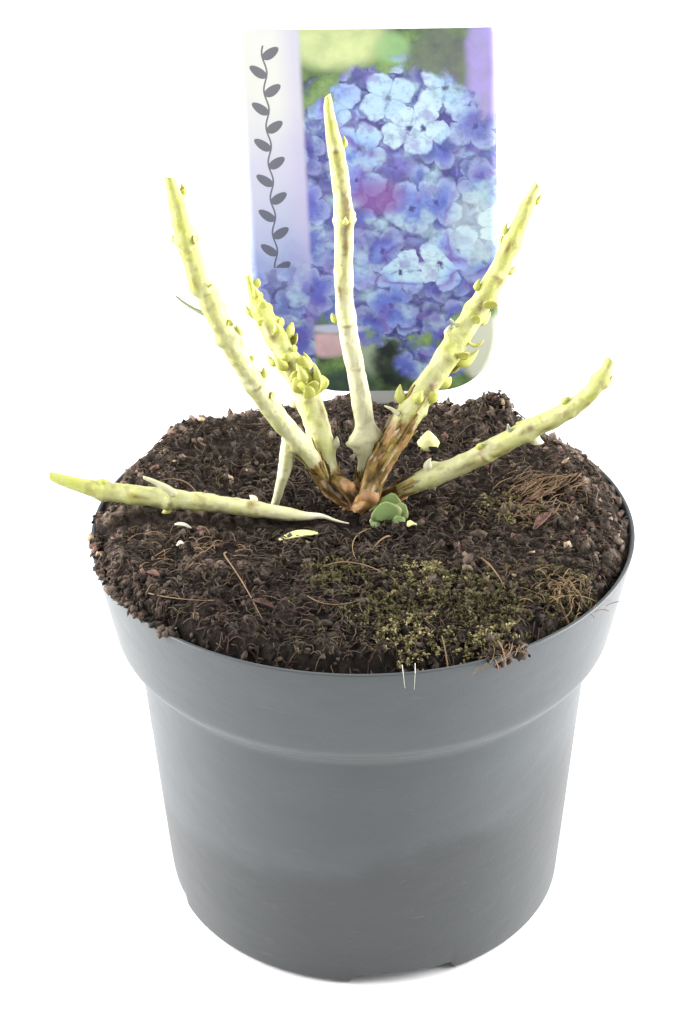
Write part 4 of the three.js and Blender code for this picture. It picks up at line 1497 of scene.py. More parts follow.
def make_buds(s):
    """The buds that stand out, small ones over the other leaf scars, and young leaves."""
    kinds = {"green": [], "pale": []}
    for name, buds in BUDS.items():
        for t, bearing, size, width, lean, kind in buds:
            foot, out, along = LINES[name].side(t, math.radians(bearing))
            kinds[kind].append(bud(foot, out, along * lean, size * MM, width * MM))
    rng = np.random.default_rng(SEEDS["buds"])
    for name in CANES[:-1]:
        nodes, turn = HABITS[name][:2]
        for number, node in enumerate(nodes):
            for opposite in (0, 180):
                bearing = math.radians(turn + 90 * (number % 2) + opposite + rng.normal(0, 12))
                size, width, lean, wanted = rng.uniform((1.2, 1.4, 1.6, 0.0), (2.4, 2.3, 3.2, 1.0))
                foot, out, along = LINES[name].side(node + rng.normal(0, 0.008), bearing)
                if wanted > BARE_SCARS:
                    kinds["green"].append(bud(foot, out, along * lean, size * MM, width * MM, 10, 9))
    for name, share, number, bearings, long in LEAFLETS:
        for t in np.linspace(*share, number):
            bearing, size = rng.uniform(*bearings), rng.uniform(*long) * MM
            kinds["green"].append(leaflet(rng, LINES[name], t, bearing, size))
    green = bud_finish("bud_green", s.bud, (0.44, 0.45, 0.125), s)
    pale = bud_finish("bud_pale", shade(s.cream, 1.1), s.wood, s)
    make_piece("buds_green", kinds["green"], [green])
    make_piece("buds_pale", kinds["pale"], [pale])


def make_twigs(s):
    """The twigs, dead and live."""
    kinds = {"grey": [], "pale": []}
    for number, (foot, tip, thick, bow, kind) in enumerate(TWIGS):
        kinds[kind].append(twig(foot, tip, thick, bow, number))
    grey = plain_bits("twig_grey", (0.38, 0.40, 0.29), 0.85, 0.3)
    make_piece("twigs_dead", kinds["grey"], [grey])
    make_piece("twigs_live", kinds["pale"], [cane_bark(s)])


# ---- Stool ----

# How far up its cane each arm's bark reaches, as a share of the cane.
SLEEVES = {
    "cane_left_tall": 0.045, "cane_left_inner": 0.05, "cane_centre_tall": 0.015, "cane_right_tall": 0.25,
    "cane_right_low": 0.02,
}


def stool_arm(name, reach, seed):
    """One arm of the stool: a quadratic path from the heart to the cane's foot, then up the cane as a
    sleeve of bark whose end is ragged: the share where it dips under the cane's own bark changes with the
    bearing. Strips and knots of noise stretched along the arm give its relief."""
    line = LINES[name]
    heart = stool_heart()
    foot, ahead = line.at(np.array([0.0, 0.03]))
    distance = np.linalg.norm(foot - heart)
    bend = foot - unit(ahead - foot) * distance * 0.5
    t = np.linspace(0, 1, 26)[:-1, None]
    low = bent(heart, bend, foot, t)
    up = np.linspace(0.0, reach + 0.06, max(8, int((reach + 0.06) * line.length / (0.5 * MM))))
    path = np.concatenate([low, line.at(up)])
    sides = 40
    _, ring, a = rings_round(path, sides)
    thick = line.radius(np.zeros(1))[0]
    core = np.concatenate([blend(thick * 1.12, thick, ease(t[:, 0], 0, 1)), line.radius(up)])
    radius = core[:, None] + np.zeros(sides)
    steps = np.linalg.norm(np.diff(path, axis=0), axis=1)
    run = np.concatenate([[0.0], np.cumsum(steps)])
    grain = circle(radius, a, (run * 0.22)[:, None])
    strips = np.abs(rough(grain, 1.9 * MM, seed, 3)) * 2 - 0.5
    knots = rough(tube(path, radius, ring), 3.4 * MM, seed + 9, 2)
    share = np.concatenate([np.full(len(low), -1.0), up])[:, None]
    ragged = reach * (0.8 + 0.55 * noise(circle(MM, a), 0.6 * MM, seed))
    proud = 1 - ease(share, ragged - 0.012, ragged + 0.02)
    radius = radius + MM * (proud * (0.5 + 0.5 * strips + 0.45 * knots) - (1 - proud) * 0.9)
    worn = ease(rough(grain, 1.3 * MM, seed + 31, 2), 0.22, 0.5)
    return carry(path, radius, young=np.clip(0.45 + 0.9 * strips, 0, 1), worn=worn)


def stool_trunk():
    """The short trunk: a ring round an upright path that widens towards its cut foot, as the square of
    the depth, with buttress ridges and knots."""
    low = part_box("stool")[0]
    heart = stool_heart()
    z = np.linspace(low.z, heart[2] + 6 * MM, 26)
    path = heart + points_at(0.12 * (z - heart[2]), 0.0, z - heart[2])
    depth = np.linspace(1, 0, len(z))[:, None]
    a = ring_angles(44)
    radius = (4.3 + 2.3 * depth**2) * MM + 0.5 * MM * np.cos(5 * a + 0.6) * depth
    skin = path[:, None] + circle(radius, a)
    knots = rough(skin, 3.2 * MM, 71, 3)
    radius = radius + 1.1 * MM * knots
    return carry(path, radius, young=np.clip(0.3 + knots, 0, 1), worn=ease(knots, 0.4, 0.8))


FLAKES = 85  # how many loose strips of bark
FLAKE_SHARES = (0.18, 0.16, 0.1, 0.46, 0.1)  # how they are shared out over the sleeves


def bark_flakes(rng):
    """Loose strips of bark: grids whose width tapers to both ends, laid along an arm and curled off it by
    the square of the share along them."""
    flakes = []
    names = list(SLEEVES)
    for _ in range(FLAKES):
        name = names[rng.choice(len(names), p=FLAKE_SHARES)]
        reach = SLEEVES[name] + 0.02
        line = LINES[name]
        t0, bearing = rng.uniform(-0.02, reach), rng.uniform(0, TURN)
        size, width = rng.uniform(2.5, 9.0) * MM, rng.uniform(0.35, 1.5) * MM
        t = t0 + np.linspace(0, 1, 9) * size / line.length
        path = line.at(t)
        along, ring, _ = rings_round(path, 8)
        out = math.cos(bearing) * ring[:, 0] + math.sin(bearing) * ring[:, 2]
        side = np.cross(along, out)
        share = np.linspace(0, 1, 9)
        lift = 0.5 * MM + rng.uniform(0.1, 1.3) * MM * share**2
        v = np.linspace(-1, 1, 5)
        half = width / 2 * (0.35 + 0.65 * np.sin(math.pi * (0.12 + 0.8 * share))) + 0.1 * MM
        away = line.radius(t)[:, None] + lift[:, None] - 0.5 * half[:, None] * v**2
        grid = path[:, None] + out[:, None] * away[..., None] + side[:, None] * (half[:, None] * v)[..., None]
        flakes.append(sheet(grid, 0.22 * MM, young=np.full(away.shape, rng.uniform(0.0, 1.3))))
    return flakes


def stool_bark(s):
    """Red-brown bark that peels in strips: dark in the grooves, orange-brown on the strips, pale where it
    is worn to the wood."""
    f = Finish("stool_bark")
    soft = f.grain(0.003, detail=5.0, roughness=0.65)
    fine = f.grain(0.001, detail=4.0)
    share = f.plus(f.times(f.mark("young"), 0.7), f.range(soft, -0.4, 0.55), clamp=True)
    peeled = [(place, shade(s.bark, level)) for place, level in ((0.0, 0.25), (0.3, 1.0), (0.6, 1.9))]
    tint = ramp(f, share, (*peeled, (1.0, (0.52, 0.38, 0.20))))
    low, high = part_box("stool")
    height = f.axes()[2]
    upper = f.step(height, blend(low.z, high.z, 0.35), blend(low.z, high.z, 0.7))
    tint = f.mix(upper, tint, (0.62, 0.76, 0.50), kind="MULTIPLY")
    worn = f.times(f.mark("worn"), f.range(fine, 0.3, 0.9), clamp=True)
    tint = f.mix(worn, tint, (0.62, 0.48, 0.35))
    return f.wear(tint, f.range(fine, 0.65, 0.9), f.bump(fine, 0.0004), Specular_IOR_Level=0.3)


def make_stool(s):
    """The stool: its trunk and arms in one piece, and its loose bark in another."""
    rng = np.random.default_rng(SEEDS["flakes"])
    arms = [stool_arm(name, reach, 100 + i) for i, (name, reach) in enumerate(SLEEVES.items())]
    finish = stool_bark(s)
    make_piece("stool_crown", [stool_trunk(), *arms], [finish], replaced=["stool"])
    make_piece("stool_flakes", bark_flakes(rng), [finish])


# ---- Fallen bits ----


def leaf(foot, tip, width, cup, thickness=0.35 * MM, sag=0.0, up=UP):
    """A leaf or petal: its rib runs from foot to tip, its half width goes by the sine of the share along
    it, and its sides cup upwards by the square of the share across."""
    foot, tip = np.array(foot), np.array(tip)
    u = np.linspace(0.0, 1.0, 11)[:, None]
    v = np.linspace(-1, 1, 7)
    rib = blend(foot, tip, u) + up * sag * np.sin(math.pi * u)
    side = unit(np.cross(tip - foot, up + 0.01))
    half = width / 2 * (0.08 + 0.92 * np.sin(math.pi * np.clip(u, 0.02, 0.98)) ** 0.8)
    grid = rib[:, None] + side * (half * v)[..., None] + up * (cup * v**2 * half / (width / 2))[..., None]
    young = np.broadcast_to(u, (11, 7))
    return sheet(grid, thickness, young=young, edge=np.abs(v) ** 6 + 0 * u)


def on_ground(ground, x, y, above=0.0):
    """A point on the compost, from millimetres."""
    at = np.array([x * MM, y * MM])
    return np.array([at[0], at[1], float(ground.height(at[:1], at[1:])[0]) + above * MM])


# Fallen pieces: where their foot and tip lie in millimetres, their width, how far they cup, and their
# colour.
FALLEN_LEAVES = (
    ((-28.6, -17.6), (-15.2, -15.0), 4.2, 0.7, "yellow"),
    ((-64.6, -11.2), (-58.9, -11.0), 2.0, 0.3, "white"),
    ((-63.0, -23.4), (-60.6, -22.6), 1.9, 0.4, "white"), ((15.6, -13.4), (18.6, -10.4), 3.0, 0.9, "yellow"),
    ((8.8, -57.5), (11.2, -56.0), 1.5, 0.4, "straw"), ((52.0, 10.0), (63.0, 15.0), 2.6, 0.8, "bark"),
    ((55.0, 2.0), (68.0, 9.0), 3.0, 0.9, "bark"), ((59.0, -14.0), (65.0, -6.0), 3.4, 1.0, "bark"),
    ((-36.0, -61.0), (-28.0, -65.0), 2.6, 0.7, "bark"), ((-72.0, -40.0), (-67.0, -46.0), 2.6, 0.6, "bark"),
)


def tuft(rng, ground, middle, spread, heading, long, number):
    """A tuft of dry fibres: straight threads round a middle whose headings scatter round one heading."""
    t = np.linspace(0, 1, 5)
    foot = np.array(middle) + rng.normal(0, 1, (number, 2)) * spread
    way = np.radians(rng.normal(*heading, number))
    size = rng.uniform(*long, (number, 1))
    bend = rng.normal(0, 0.35, (number, 1)) * t
    x = foot[:, :1] + size * (t - 0.5) * np.cos(way[:, None] + bend)
    y = foot[:, 1:] + size * (t - 0.5) * np.sin(way[:, None] + bend)
    above = 1.0 + rng.uniform(0, 1.6, (number, 1)) + 0.8 * np.sin(math.pi * t)
    z = ground.level(x * MM, y * MM) + above * MM
    paths = points_at(x * MM, y * MM, z)
    return hairs(paths, rng.uniform(0.10, 0.24, (number, 1)) * MM * (1 - 0.5 * t))


# Tufts: middle and spread in millimetres, heading and its scatter in degrees, shortest and longest, and
# number.
TUFTS = (
    ((66, 10), (7, 4), (32, 22), (4, 11), 70), ((60, -3), (6, 5), (60, 50), (3, 8), 40),
    ((66, -53), (6, 5), (80, 55), (2, 7), 80), ((44, -84), (4, 3), (60, 40), (3, 8), 26),
    ((-60, -30), (9, 8), (20, 60), (3, 8), 40),
)


# Single roots and straws: the places that they pass (x, y, height above the ground) and their radius, in
# millimetres.
ROOTS = (
    (((-46, -28, 1.6), (-46, -34, 2.4), (-43.5, -42, 2.2), (-38.7, -52, 2.2), (-31.8, -71, 1.2)), 0.3),
    (((9.4, -16, 1.2), (6.8, -20, 2.4), (3.5, -26, 1.0)), 0.4),
    (((3.0, -10, 1.0), (-3, -22, 2.0), (-2, -34, 1.4), (4, -44, 1.0)), 0.2),
    (((-14, -40, 1.2), (-4, -38, 2.6), (6, -44, 1.6), (14, -52, 1.0)), 0.24),
    (((39, -33, 1.2), (43, -41, 2.4), (46.5, -52, 1.2)), 0.34),
    (((60, -58, 1.0), (68, -55, 3.0), (78, -50, 1.6)), 0.3),
    (((42, -80, 1.0), (43.5, -85, 3.0), (44.5, -89.5, 1.4)), 0.3),
    (((26.6, -88.5, 2.6), (25.6, -85.0, 4.6), (24.6, -82.0, 6.0)), 0.26),
    (((-56, 6, 1.0), (-62, 14, 2.6), (-72, 18, 1.0)), 0.24),
    (((-70, -52, 1.0), (-60, -60, 2.8), (-48, -62, 1.0)), 0.22),
    (((-18, -58, 1.0), (-10, -62, 2.4), (0, -60, 1.0)), 0.2),
)
# Root hairs over the rim: where they start and end from left to right and how far they hang, in
# millimetres.
RIM_HAIRS = ((12.0, 13.0, 5.5), (16.2, 15.8, 6.5))


def root(ground, places, radius):
    """A root through its places, joined by a curve that passes each one smoothly (a cubic of least
    squares)."""
    points = np.array([on_ground(ground, x, y, h) for x, y, h in places])
    share = np.linspace(0, 1, len(points))
    degree = min(3, len(points) - 1)
    t = np.linspace(0, 1, 22)
    path = np.vander(t, degree + 1) @ np.linalg.lstsq(np.vander(share, degree + 1), points, rcond=None)[0]
    return hairs(path[None], (radius * MM * (1 - 0.5 * t))[None], sides=6)


def rim_hairs():
    """Pale root hairs that hang over the front of the rim: out over it, then down along the wall."""
    t = np.linspace(0, 1, 12)
    paths = []
    for x0, x1, drop in RIM_HAIRS:
        x = blend(x0, x1, t) * MM
        down = ease(t, 0.3, 1.0) * drop * MM
        out = RIM_RADIUS + 0.5 * MM - (1 - ease(t, 0.0, 0.4)) * 6 * MM - 0.18 * down
        y = -np.sqrt(np.maximum(out**2 - x**2, 0))
        paths.append(points_at(x, y, RIM_HEIGHT + 0.7 * MM * np.sin(math.pi * np.minimum(t * 2, 1)) - down))
    paths = np.array(paths)
    return hairs(paths, np.full(paths.shape[:2], 0.13 * MM) * (1 - 0.5 * t), sides=5)


FALLEN_BUD = (24.7, 48.0, -0.5)  # where a yellow bud stands on the heap, and its height, in millimetres


def litter_finishes(s):
    """Colours of the fallen bits."""
    return {
        "yellow": plain_bits("litter_yellow", (0.46, 0.455, 0.21), 0.55, 0.15),
        "white": plain_bits("litter_white", (0.50, 0.49, 0.43), 0.6, 0.12),
        "straw": plain_bits("litter_straw", (0.175, 0.115, 0.065), 0.75, 0.45),
        "bark": peat("litter_bark", shade(s.red, 0.5), shade(s.red, 1.2), size=0.003),
    }


def make_litter(s):
    """Fallen leaves and bark, roots, straws, tufts and one fallen bud, one piece for each colour."""
    rng = np.random.default_rng(SEEDS["litter"])
    ground = Ground(s.relief)
    kinds = {"yellow": [], "white": [], "straw": [], "bark": []}
    for foot, tip, width, cup, kind in FALLEN_LEAVES:
        ends = on_ground(ground, *foot, 1.1), on_ground(ground, *tip, 1.3)
        kinds[kind].append(leaf(*ends, width * MM, cup * MM, 0.5 * MM, 0.6 * MM))
    kinds["straw"] += [root(ground, places, radius) for places, radius in ROOTS]
    kinds["white"].append(rim_hairs())
    kinds["straw"] += [tuft(rng, ground, *one) for one in TUFTS]
    fallen_bud = on_ground(ground, *FALLEN_BUD)
    kinds["yellow"].append(bud(fallen_bud, UP, UP * 0.3, 7.2 * MM, 7.8 * MM, 22, 15))
    finishes = litter_finishes(s)
    for kind, shells in kinds.items():
        make_piece(f"litter_{kind}", shells, [finishes[kind]])


BASAL_PLACE = (8.6, -2.2, -0.4)
# The leaves of the basal bud: where they start and end in millimetres from its middle, and their width.
BASAL_LEAVES = (
    ((0.6, -3.0, -0.4), (-1.2, -3.6, 8.4), 11.0), ((2.6, -2.0, 0.2), (6.0, -1.6, 6.6), 7.0),
    ((-1.0, 0.5, 0.6), (-5.6, 0.4, 6.0), 7.0), ((0.6, 0.4, 1.0), (2.2, 1.2, 9.2), 8.4),
    ((2.0, -4.0, -0.4), (6.2, -5.2, 2.6), 4.6), ((-2.0, -3.6, -0.4), (-6.0, -4.6, 1.8), 4.2),
)


def make_basal_bud(s):
    """The green bud that breaks from the foot of the stool: a core with young cupped leaves folded round
    it."""
    ground = Ground(1.0)
    middle = on_ground(ground, *BASAL_PLACE)
    shells = [bud(middle, UP, UP * 0.4, 6.4 * MM, 6.4 * MM, 16, 14)]
    for foot, tip, width in BASAL_LEAVES:
        foot, tip = middle + np.array(foot) * MM, middle + np.array(tip) * MM
        face = unit(TOWARDS_FRONT + UP * 0.6 + (foot - tip) / MM * 0.05)
        shells.append(leaf(foot, tip, width * MM, 0.5 * MM, 0.45 * MM, 0.9 * MM, up=face))
    finish = bud_finish("basal_green", (0.185, 0.275, 0.085), (0.26, 0.35, 0.15), s)
    make_piece("basal_bud", shells, [finish])


# ---- Label ----


CARD_WIDTH = 91 * MM
PRINT_LEVEL = 0.86  # how light the whole print is
CARD_SHEAR = 0.031  # how far the card leans to the left for each unit of its height


def card_grid(s):
    """The card as a grid of share across by height: for each height, the left and right edges follow the
    two quarter ellipses of the lower corners, the quarter circles of the upper corners, or the spike's
    own taper. Also gives each point's place on the card, in metres from its lower left."""
    low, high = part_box("label")
    wide = high.x - low.x
    lean = math.atan2(high.y - low.y - s.thickness, high.z - low.z)
    tall = s.card_height
    spike = (high.z - low.z) / math.cos(lean) - tall
    (left_wide, left_tall), (right_wide, right_tall) = s.left_sweep, s.right_sweep
    quarter = 1 - np.cos(np.linspace(0, TURN / 4, 30))
    h = np.unique(np.round(np.concatenate([
        np.linspace(-spike, -spike + s.spike_point, 8), np.linspace(-spike + s.spike_point, -0.6 * MM, 12),
        quarter * left_tall, quarter * right_tall, np.linspace(left_tall, tall - s.corner, 26),
        tall - s.corner * quarter[::4],
    ]), 6))
    inset = s.corner - np.sqrt(np.maximum(s.corner**2 - np.maximum(h - tall + s.corner, 0) ** 2, 0))
    lower_left = left_wide * (1 - np.sqrt(1 - np.clip(1 - h / left_tall, 0, 1) ** 2))
    lower_right = right_wide * (1 - np.sqrt(1 - np.clip(1 - h / right_tall, 0, 1) ** 2))
    half = s.spike_width / 2 * np.clip((h + spike) / s.spike_point, 0.02, 1)
    neck = ease(h, -0.6 * MM, 0.0)
    left = blend(wide / 2 - half, np.maximum(inset, lower_left), neck)
    right = blend(wide / 2 + half, wide - np.maximum(inset, lower_right), neck)
    x = blend(left[:, None], right[:, None], np.linspace(0, 1, 33))
    forward = s.bow * (1 - (2 * x / wide - 1) ** 2)
    up = np.array([-CARD_SHEAR, math.sin(lean), math.cos(lean)])
    front = np.array([0.0, -math.cos(lean), math.sin(lean)])
    foot = np.array([low.x, low.y + s.thickness / 2, low.z]) + up * spike
    foot[0] = low.x + CARD_SHEAR * tall / 2
    points = foot + np.array([1.0, 0, 0]) * x[..., None] + up * h[:, None, None] + front * forward[..., None]
    return points, np.stack([x, h[:, None] + 0 * x], axis=-1)


class Print:
    """The steps of the printed picture: places on the card in metres, and masks worked out from them."""

    def __init__(self, finish, wide, tall):
        self.f = finish
        self.wide, self.tall = wide, tall
        self.at = finish.node("ShaderNodeUVMap", uv_map="print").outputs[0]
        parts = finish.axes(self.at)
        self.x, self.y = parts[0], parts[1]

    def spot(self, x, y, across, up, soft=0.35):
        """1 inside an ellipse on the card and 0 outside, with a soft and slightly noisy edge. Its middle
        and its reach are shares of the card's width and height."""
        f = self.f
        dx = f.maths("DIVIDE", f.minus(self.x, x * self.wide), across * self.wide)
        dy = f.maths("DIVIDE", f.minus(self.y, y * self.tall), up * self.tall)
        away = f.plus(f.times(dx, dx), f.times(dy, dy))
        wobble = f.grain(0.009, detail=3.0, at=self.at)
        away = f.plus(away, f.range(wobble, -0.55, 0.55))
        return f.rest(f.step(away, 1.0 - soft, 1.0 + soft))

    def tinted(self, below, spot, strength, tint, soft=0.35):
        """The colour below with a tint over it inside a spot."""
        return self.f.mix(self.f.times(self.spot(*spot, soft), strength), below, tint)

    def florets(self, size, seed):
        """Four-petalled florets on scattered middles. For a point, a is its bearing from the nearest
        middle plus a random turn, and the petals reach out by the absolute cosine of 2 a. Gives how much
        petal there is, the share of the way out, how near the crease between two petals is, and two
        random numbers."""
        f = self.f
        shift = f.vector("ADD", self.at, (seed, seed * 0.7, 0.0))[0]
        soft = f.node("ShaderNodeTexNoise", {"Vector": shift, "Scale": 200.0, "Detail": 2.0}).outputs[1]
        warp = f.vector("SCALE", f.vector("SUBTRACT", soft, (0.5, 0.5, 0.5))[0], 0.0045)[0]
        place = f.vector("ADD", shift, warp)[0]
        inputs = {"Vector": place, "Scale": 1.0 / size, "Randomness": 0.8}
        cells = f.node("ShaderNodeTexVoronoi", inputs, voronoi_dimensions="2D")
        arm = f.vector("SUBTRACT", place, cells.outputs["Position"])[0]
        away = f.vector("LENGTH", arm)["Value"]
        parts = f.axes(arm)
        chance = f.node("ShaderNodeSeparateColor", {0: cells.outputs["Color"]}).outputs
        a = f.plus(f.maths("ARCTAN2", parts[1], parts[0]), f.times(chance[0], TURN))
        lobes = f.maths("ABSOLUTE", f.maths("COSINE", f.times(a, 2.0)))
        round_lobes = f.maths("POWER", lobes, 0.45)
        out = f.maths("DIVIDE", away, f.times(f.range(round_lobes, 0.32, 0.64), size))
        petal = f.rest(f.step(out, 0.86, 1.0))
        crease = f.rest(f.step(lobes, 0.0, 0.35))
        return petal, out, crease, chance[1], chance[2]


BLOOM_COLOURS = (
    (0.0, (0.055, 0.065, 0.3)), (0.14, (0.1, 0.1, 0.46)), (0.28, (0.13, 0.2, 0.58)),
    (0.42, (0.2, 0.3, 0.68)), (0.52, (0.2, 0.18, 0.54)), (0.6, (0.14, 0.11, 0.4)),
    (0.7, (0.26, 0.38, 0.72)), (0.84, (0.36, 0.56, 0.76)), (1.0, (0.5, 0.68, 0.76)),
)
LEAF_COLOURS = (
    (0.0, (0.015, 0.022, 0.022)), (0.35, (0.04, 0.07, 0.04)), (0.6, (0.16, 0.26, 0.09)),
    (1.0, (0.44, 0.52, 0.26)),
)
# Where the picture's florets are lighter or darker: place and reach as shares of the card's width and
# height, and the tone there.
TONES = (
    (0.6, 0.8, 0.26, 0.13, 0.92), (0.92, 0.66, 0.12, 0.12, 0.46), (0.9, 0.47, 0.11, 0.12, 1.0),
    (0.6, 0.57, 0.17, 0.09, 0.56), (0.66, 0.37, 0.16, 0.07, 0.86), (0.62, 0.25, 0.2, 0.06, 0.06),
    (0.36, 0.5, 0.1, 0.14, 0.34), (0.14, 0.3, 0.14, 0.1, 0.3), (0.4, 0.86, 0.1, 0.06, 0.72),
)
# Patches in the leaves behind the florets: place, reach, strength and colour.
PATCHES = (
    (0.38, 0.97, 0.2, 0.07, 0.9, (0.55, 0.62, 0.3)), (0.6, 0.95, 0.07, 0.04, 0.8, (0.26, 0.46, 0.2)),
    (0.8, 0.9, 0.14, 0.1, 0.72, (0.12, 0.125, 0.13)), (0.965, 0.9, 0.08, 0.17, 1.0, (0.33, 0.27, 0.58)),
    (0.47, 0.1, 0.06, 0.06, 0.8, (0.33, 0.4, 0.3)), (0.56, 0.08, 0.08, 0.09, 1.0, (0.015, 0.022, 0.024)),
    (0.38, 0.02, 0.12, 0.05, 0.9, (0.03, 0.055, 0.055)), (0.92, 0.22, 0.1, 0.05, 0.6, (0.1, 0.16, 0.05)),
)


def bloom_layer(p, size, seed, tone, below):
    """One layer of florets laid over the colour below: paler to the petals' rims, darker in the eye and
    along the creases, each floret a little lighter or darker than the next."""
    f = p.f
    petal, out, crease, chance, other = p.florets(size, seed)
    pick = f.plus(tone, f.range(chance, -0.2, 0.2), clamp=True)
    tint = ramp(f, pick, BLOOM_COLOURS)
    tint = f.mix(f.times(f.step(out, 0.35, 0.95), f.range(other, 0.25, 0.7)), tint, (0.54, 0.66, 0.80))
    tint = f.mix(f.times(crease, f.range(out, 0.55, 0.1), clamp=True), tint, (0.08, 0.09, 0.36))
    tint = f.mix(f.rest(f.step(out, 0.05, 0.16)), tint, (0.05, 0.04, 0.20))
    tint = f.mix(f.times(f.step(other, 0.3, 1.0), 0.45), tint, (0.075, 0.075, 0.34))
    shadow = f.times(f.step(out, 1.6, 0.9), 0.65)
    return f.mix(petal, f.mix(shadow, below, (0.05, 0.05, 0.20)), tint)


def print_finish(s):
    """The printed card: a ball of four-petalled blue, violet and mint florets among leaves, and a white
    strip that turns blue at its foot and carries a grey vine."""
    f = Finish("label_print")
    wide, tall = CARD_WIDTH, s.card_height
    p = Print(f, wide, tall)
    zone = f.grain(0.02, detail=2.0, at=p.at)
    tone = f.range(zone, 0.05, 0.6)
    for x, y, x_reach, y_reach, level in TONES:
        share = p.spot(x, y, x_reach, y_reach, soft=0.7)
        tone = f.plus(tone, f.times(share, f.minus(level, tone)))
    deep = ramp(f, zone, ((0.3, (0.04, 0.045, 0.20)), (0.6, (0.08, 0.10, 0.36)), (0.8, (0.13, 0.24, 0.34))))
    bloom = bloom_layer(p, s.floret * 0.62, 0.83, f.times(tone, 0.7), deep)
    bloom = bloom_layer(p, s.floret * 0.8, 0.47, f.times(tone, 0.85), bloom)
    bloom = bloom_layer(p, s.floret, 0.31, tone, bloom)
    blotches = (0.012, 0.52, 0.66, (0.44, 0.66, 0.66)), (0.009, 0.47, 0.33, (0.17, 0.10, 0.42))
    for size, start, end, tint in blotches:
        blotch = f.step(f.grain(size, detail=3.0, at=p.at), start, end)
        bloom = f.mix(f.times(blotch, 0.5), bloom, tint)
    dapple = f.grain(0.0042, detail=4.0, roughness=0.7, at=p.at)
    dapple = ramp(f, dapple, ((0.30, (0.42, 0.42, 0.60)), (0.5, (0.92, 0.92, 0.96)), (0.68, (1.0, 1.0, 1.0))))
    bloom = f.mix(0.85, bloom, dapple, kind="MULTIPLY")
    bloom = p.tinted(bloom, (0.53, 0.555, 0.10, 0.045), 0.75, (0.20, 0.065, 0.30), soft=0.9)
    bloom = p.tinted(bloom, (0.90, 0.47, 0.09, 0.09), 0.35, (0.58, 0.74, 0.66), soft=0.8)
    leafy = ramp(f, f.grain(0.009, detail=4.0, roughness=0.65, at=p.at), LEAF_COLOURS)
    mottle = f.range(f.grain(0.007, detail=3.0, at=p.at), 0.5, 1.4)
    for x, y, x_reach, y_reach, strength, tint in PATCHES:
        share = p.spot(x, y, x_reach, y_reach, soft=0.6)
        share = f.times(f.times(share, strength), mottle, clamp=True)
        leafy = f.mix(share, leafy, tint)
    ball = p.spot(0.60, 0.52, 0.50, 0.385, soft=0.12)
    low = p.spot(0.72, 0.08, 0.15, 0.052)
    picture = f.mix(f.maths("MAXIMUM", ball, low), leafy, bloom)
    patchy = f.range(mottle, 0.5, 1.0, 0.5, 1.2)
    blush = f.times(p.spot(0.305, 0.138, 0.11, 0.036, soft=0.6), patchy, clamp=True)
    picture = f.mix(blush, picture, (0.62, 0.40, 0.47))
    # A thin pale band over the blush: a painted highlight, a sheen on the glossy card.
    picture = p.tinted(picture, (0.34, 0.185, 0.12, 0.012), 0.8, (0.50, 0.52, 0.74), soft=0.8)
    picture = p.tinted(picture, (0.97, 0.12, 0.13, 0.10), 0.9, (0.62, 0.64, 0.52))
    fade = f.plus(p.y, f.range(zone, -0.014, 0.014))
    strip = f.mix(f.step(fade, 0.33 * tall, 0.62 * tall), (0.30, 0.36, 0.60), (0.50, 0.50, 0.63))
    strip = f.mix(f.step(fade, 0.6 * tall, 0.85 * tall), strip, (0.63, 0.64, 0.61))
    lilac = f.times(f.step(p.x, 0.13 * wide, 0.245 * wide), 0.5)
    strip = f.mix(lilac, strip, (0.42, 0.37, 0.62))
    low_strip = f.rest(f.step(fade, 0.26 * tall, 0.44 * tall))
    strip = f.mix(f.times(low_strip, 0.95), strip, bloom)
    strip = f.mix(vine(p, 0.105 * wide, 0.36 * tall, 0.96 * tall), strip, (0.05, 0.05, 0.08))
    edge = 1.2 * MM
    picture_side = f.step(p.x, s.strip * wide - edge, s.strip * wide + edge)
    tint = f.mix(picture_side, strip, picture)
    return f.wear(f.vector("SCALE", tint, PRINT_LEVEL)[0], 0.32, IOR=1.5)


VINE_GAP = 6.6 * MM
VINE_LEAF_LENGTH = 6.8 * MM
VINE_LEAF_WIDTH = 3.4 * MM


def vine(p, x, low, high):
    """A vine ornament: a stem that sways as a sine of the height, and on it leaves that are ellipses, one in
    each gap, turned up and set to the left and to the right in turn."""
    f = p.f
    gap = VINE_GAP
    sway = f.times(f.maths("SINE", f.times(p.y, TURN / (2 * gap))), 0.7 * MM)
    across = f.minus(f.minus(p.x, x), sway)
    stem = f.maths("LESS_THAN", f.maths("ABSOLUTE", across), 0.32 * MM)
    turn = f.maths("DIVIDE", p.y, gap)
    rise = f.times(f.minus(f.maths("FRACT", turn), 0.5), gap)
    odd = f.maths("GREATER_THAN", f.maths("MODULO", turn, 2.0), 1.0)
    side = f.times(across, f.range(odd, -1.0, 1.0))
    u = f.minus(side, 2.9 * MM)
    along = f.plus(f.times(u, 0.82), f.times(rise, 0.57))
    over = f.minus(f.times(rise, 0.82), f.times(u, 0.57))
    along = f.maths("DIVIDE", along, VINE_LEAF_LENGTH / 2)
    over = f.maths("DIVIDE", over, VINE_LEAF_WIDTH / 2)
    size = f.plus(f.times(along, along), f.times(over, over))
    drawn = f.maths("MAXIMUM", stem, f.maths("LESS_THAN", size, 1.0))
    inside = f.times(f.maths("GREATER_THAN", p.y, low), f.maths("LESS_THAN", p.y, high))
    return f.times(f.times(drawn, inside), 0.85)


def card_back():
    """The plain pale plastic of the card's back, edges and spike."""
    f = Finish("label_back")
    soft = f.grain(0.02, detail=2.0)
    return f.wear(f.mix(soft, (0.30, 0.305, 0.30), (0.35, 0.355, 0.35)), f.range(soft, 0.3, 0.42))


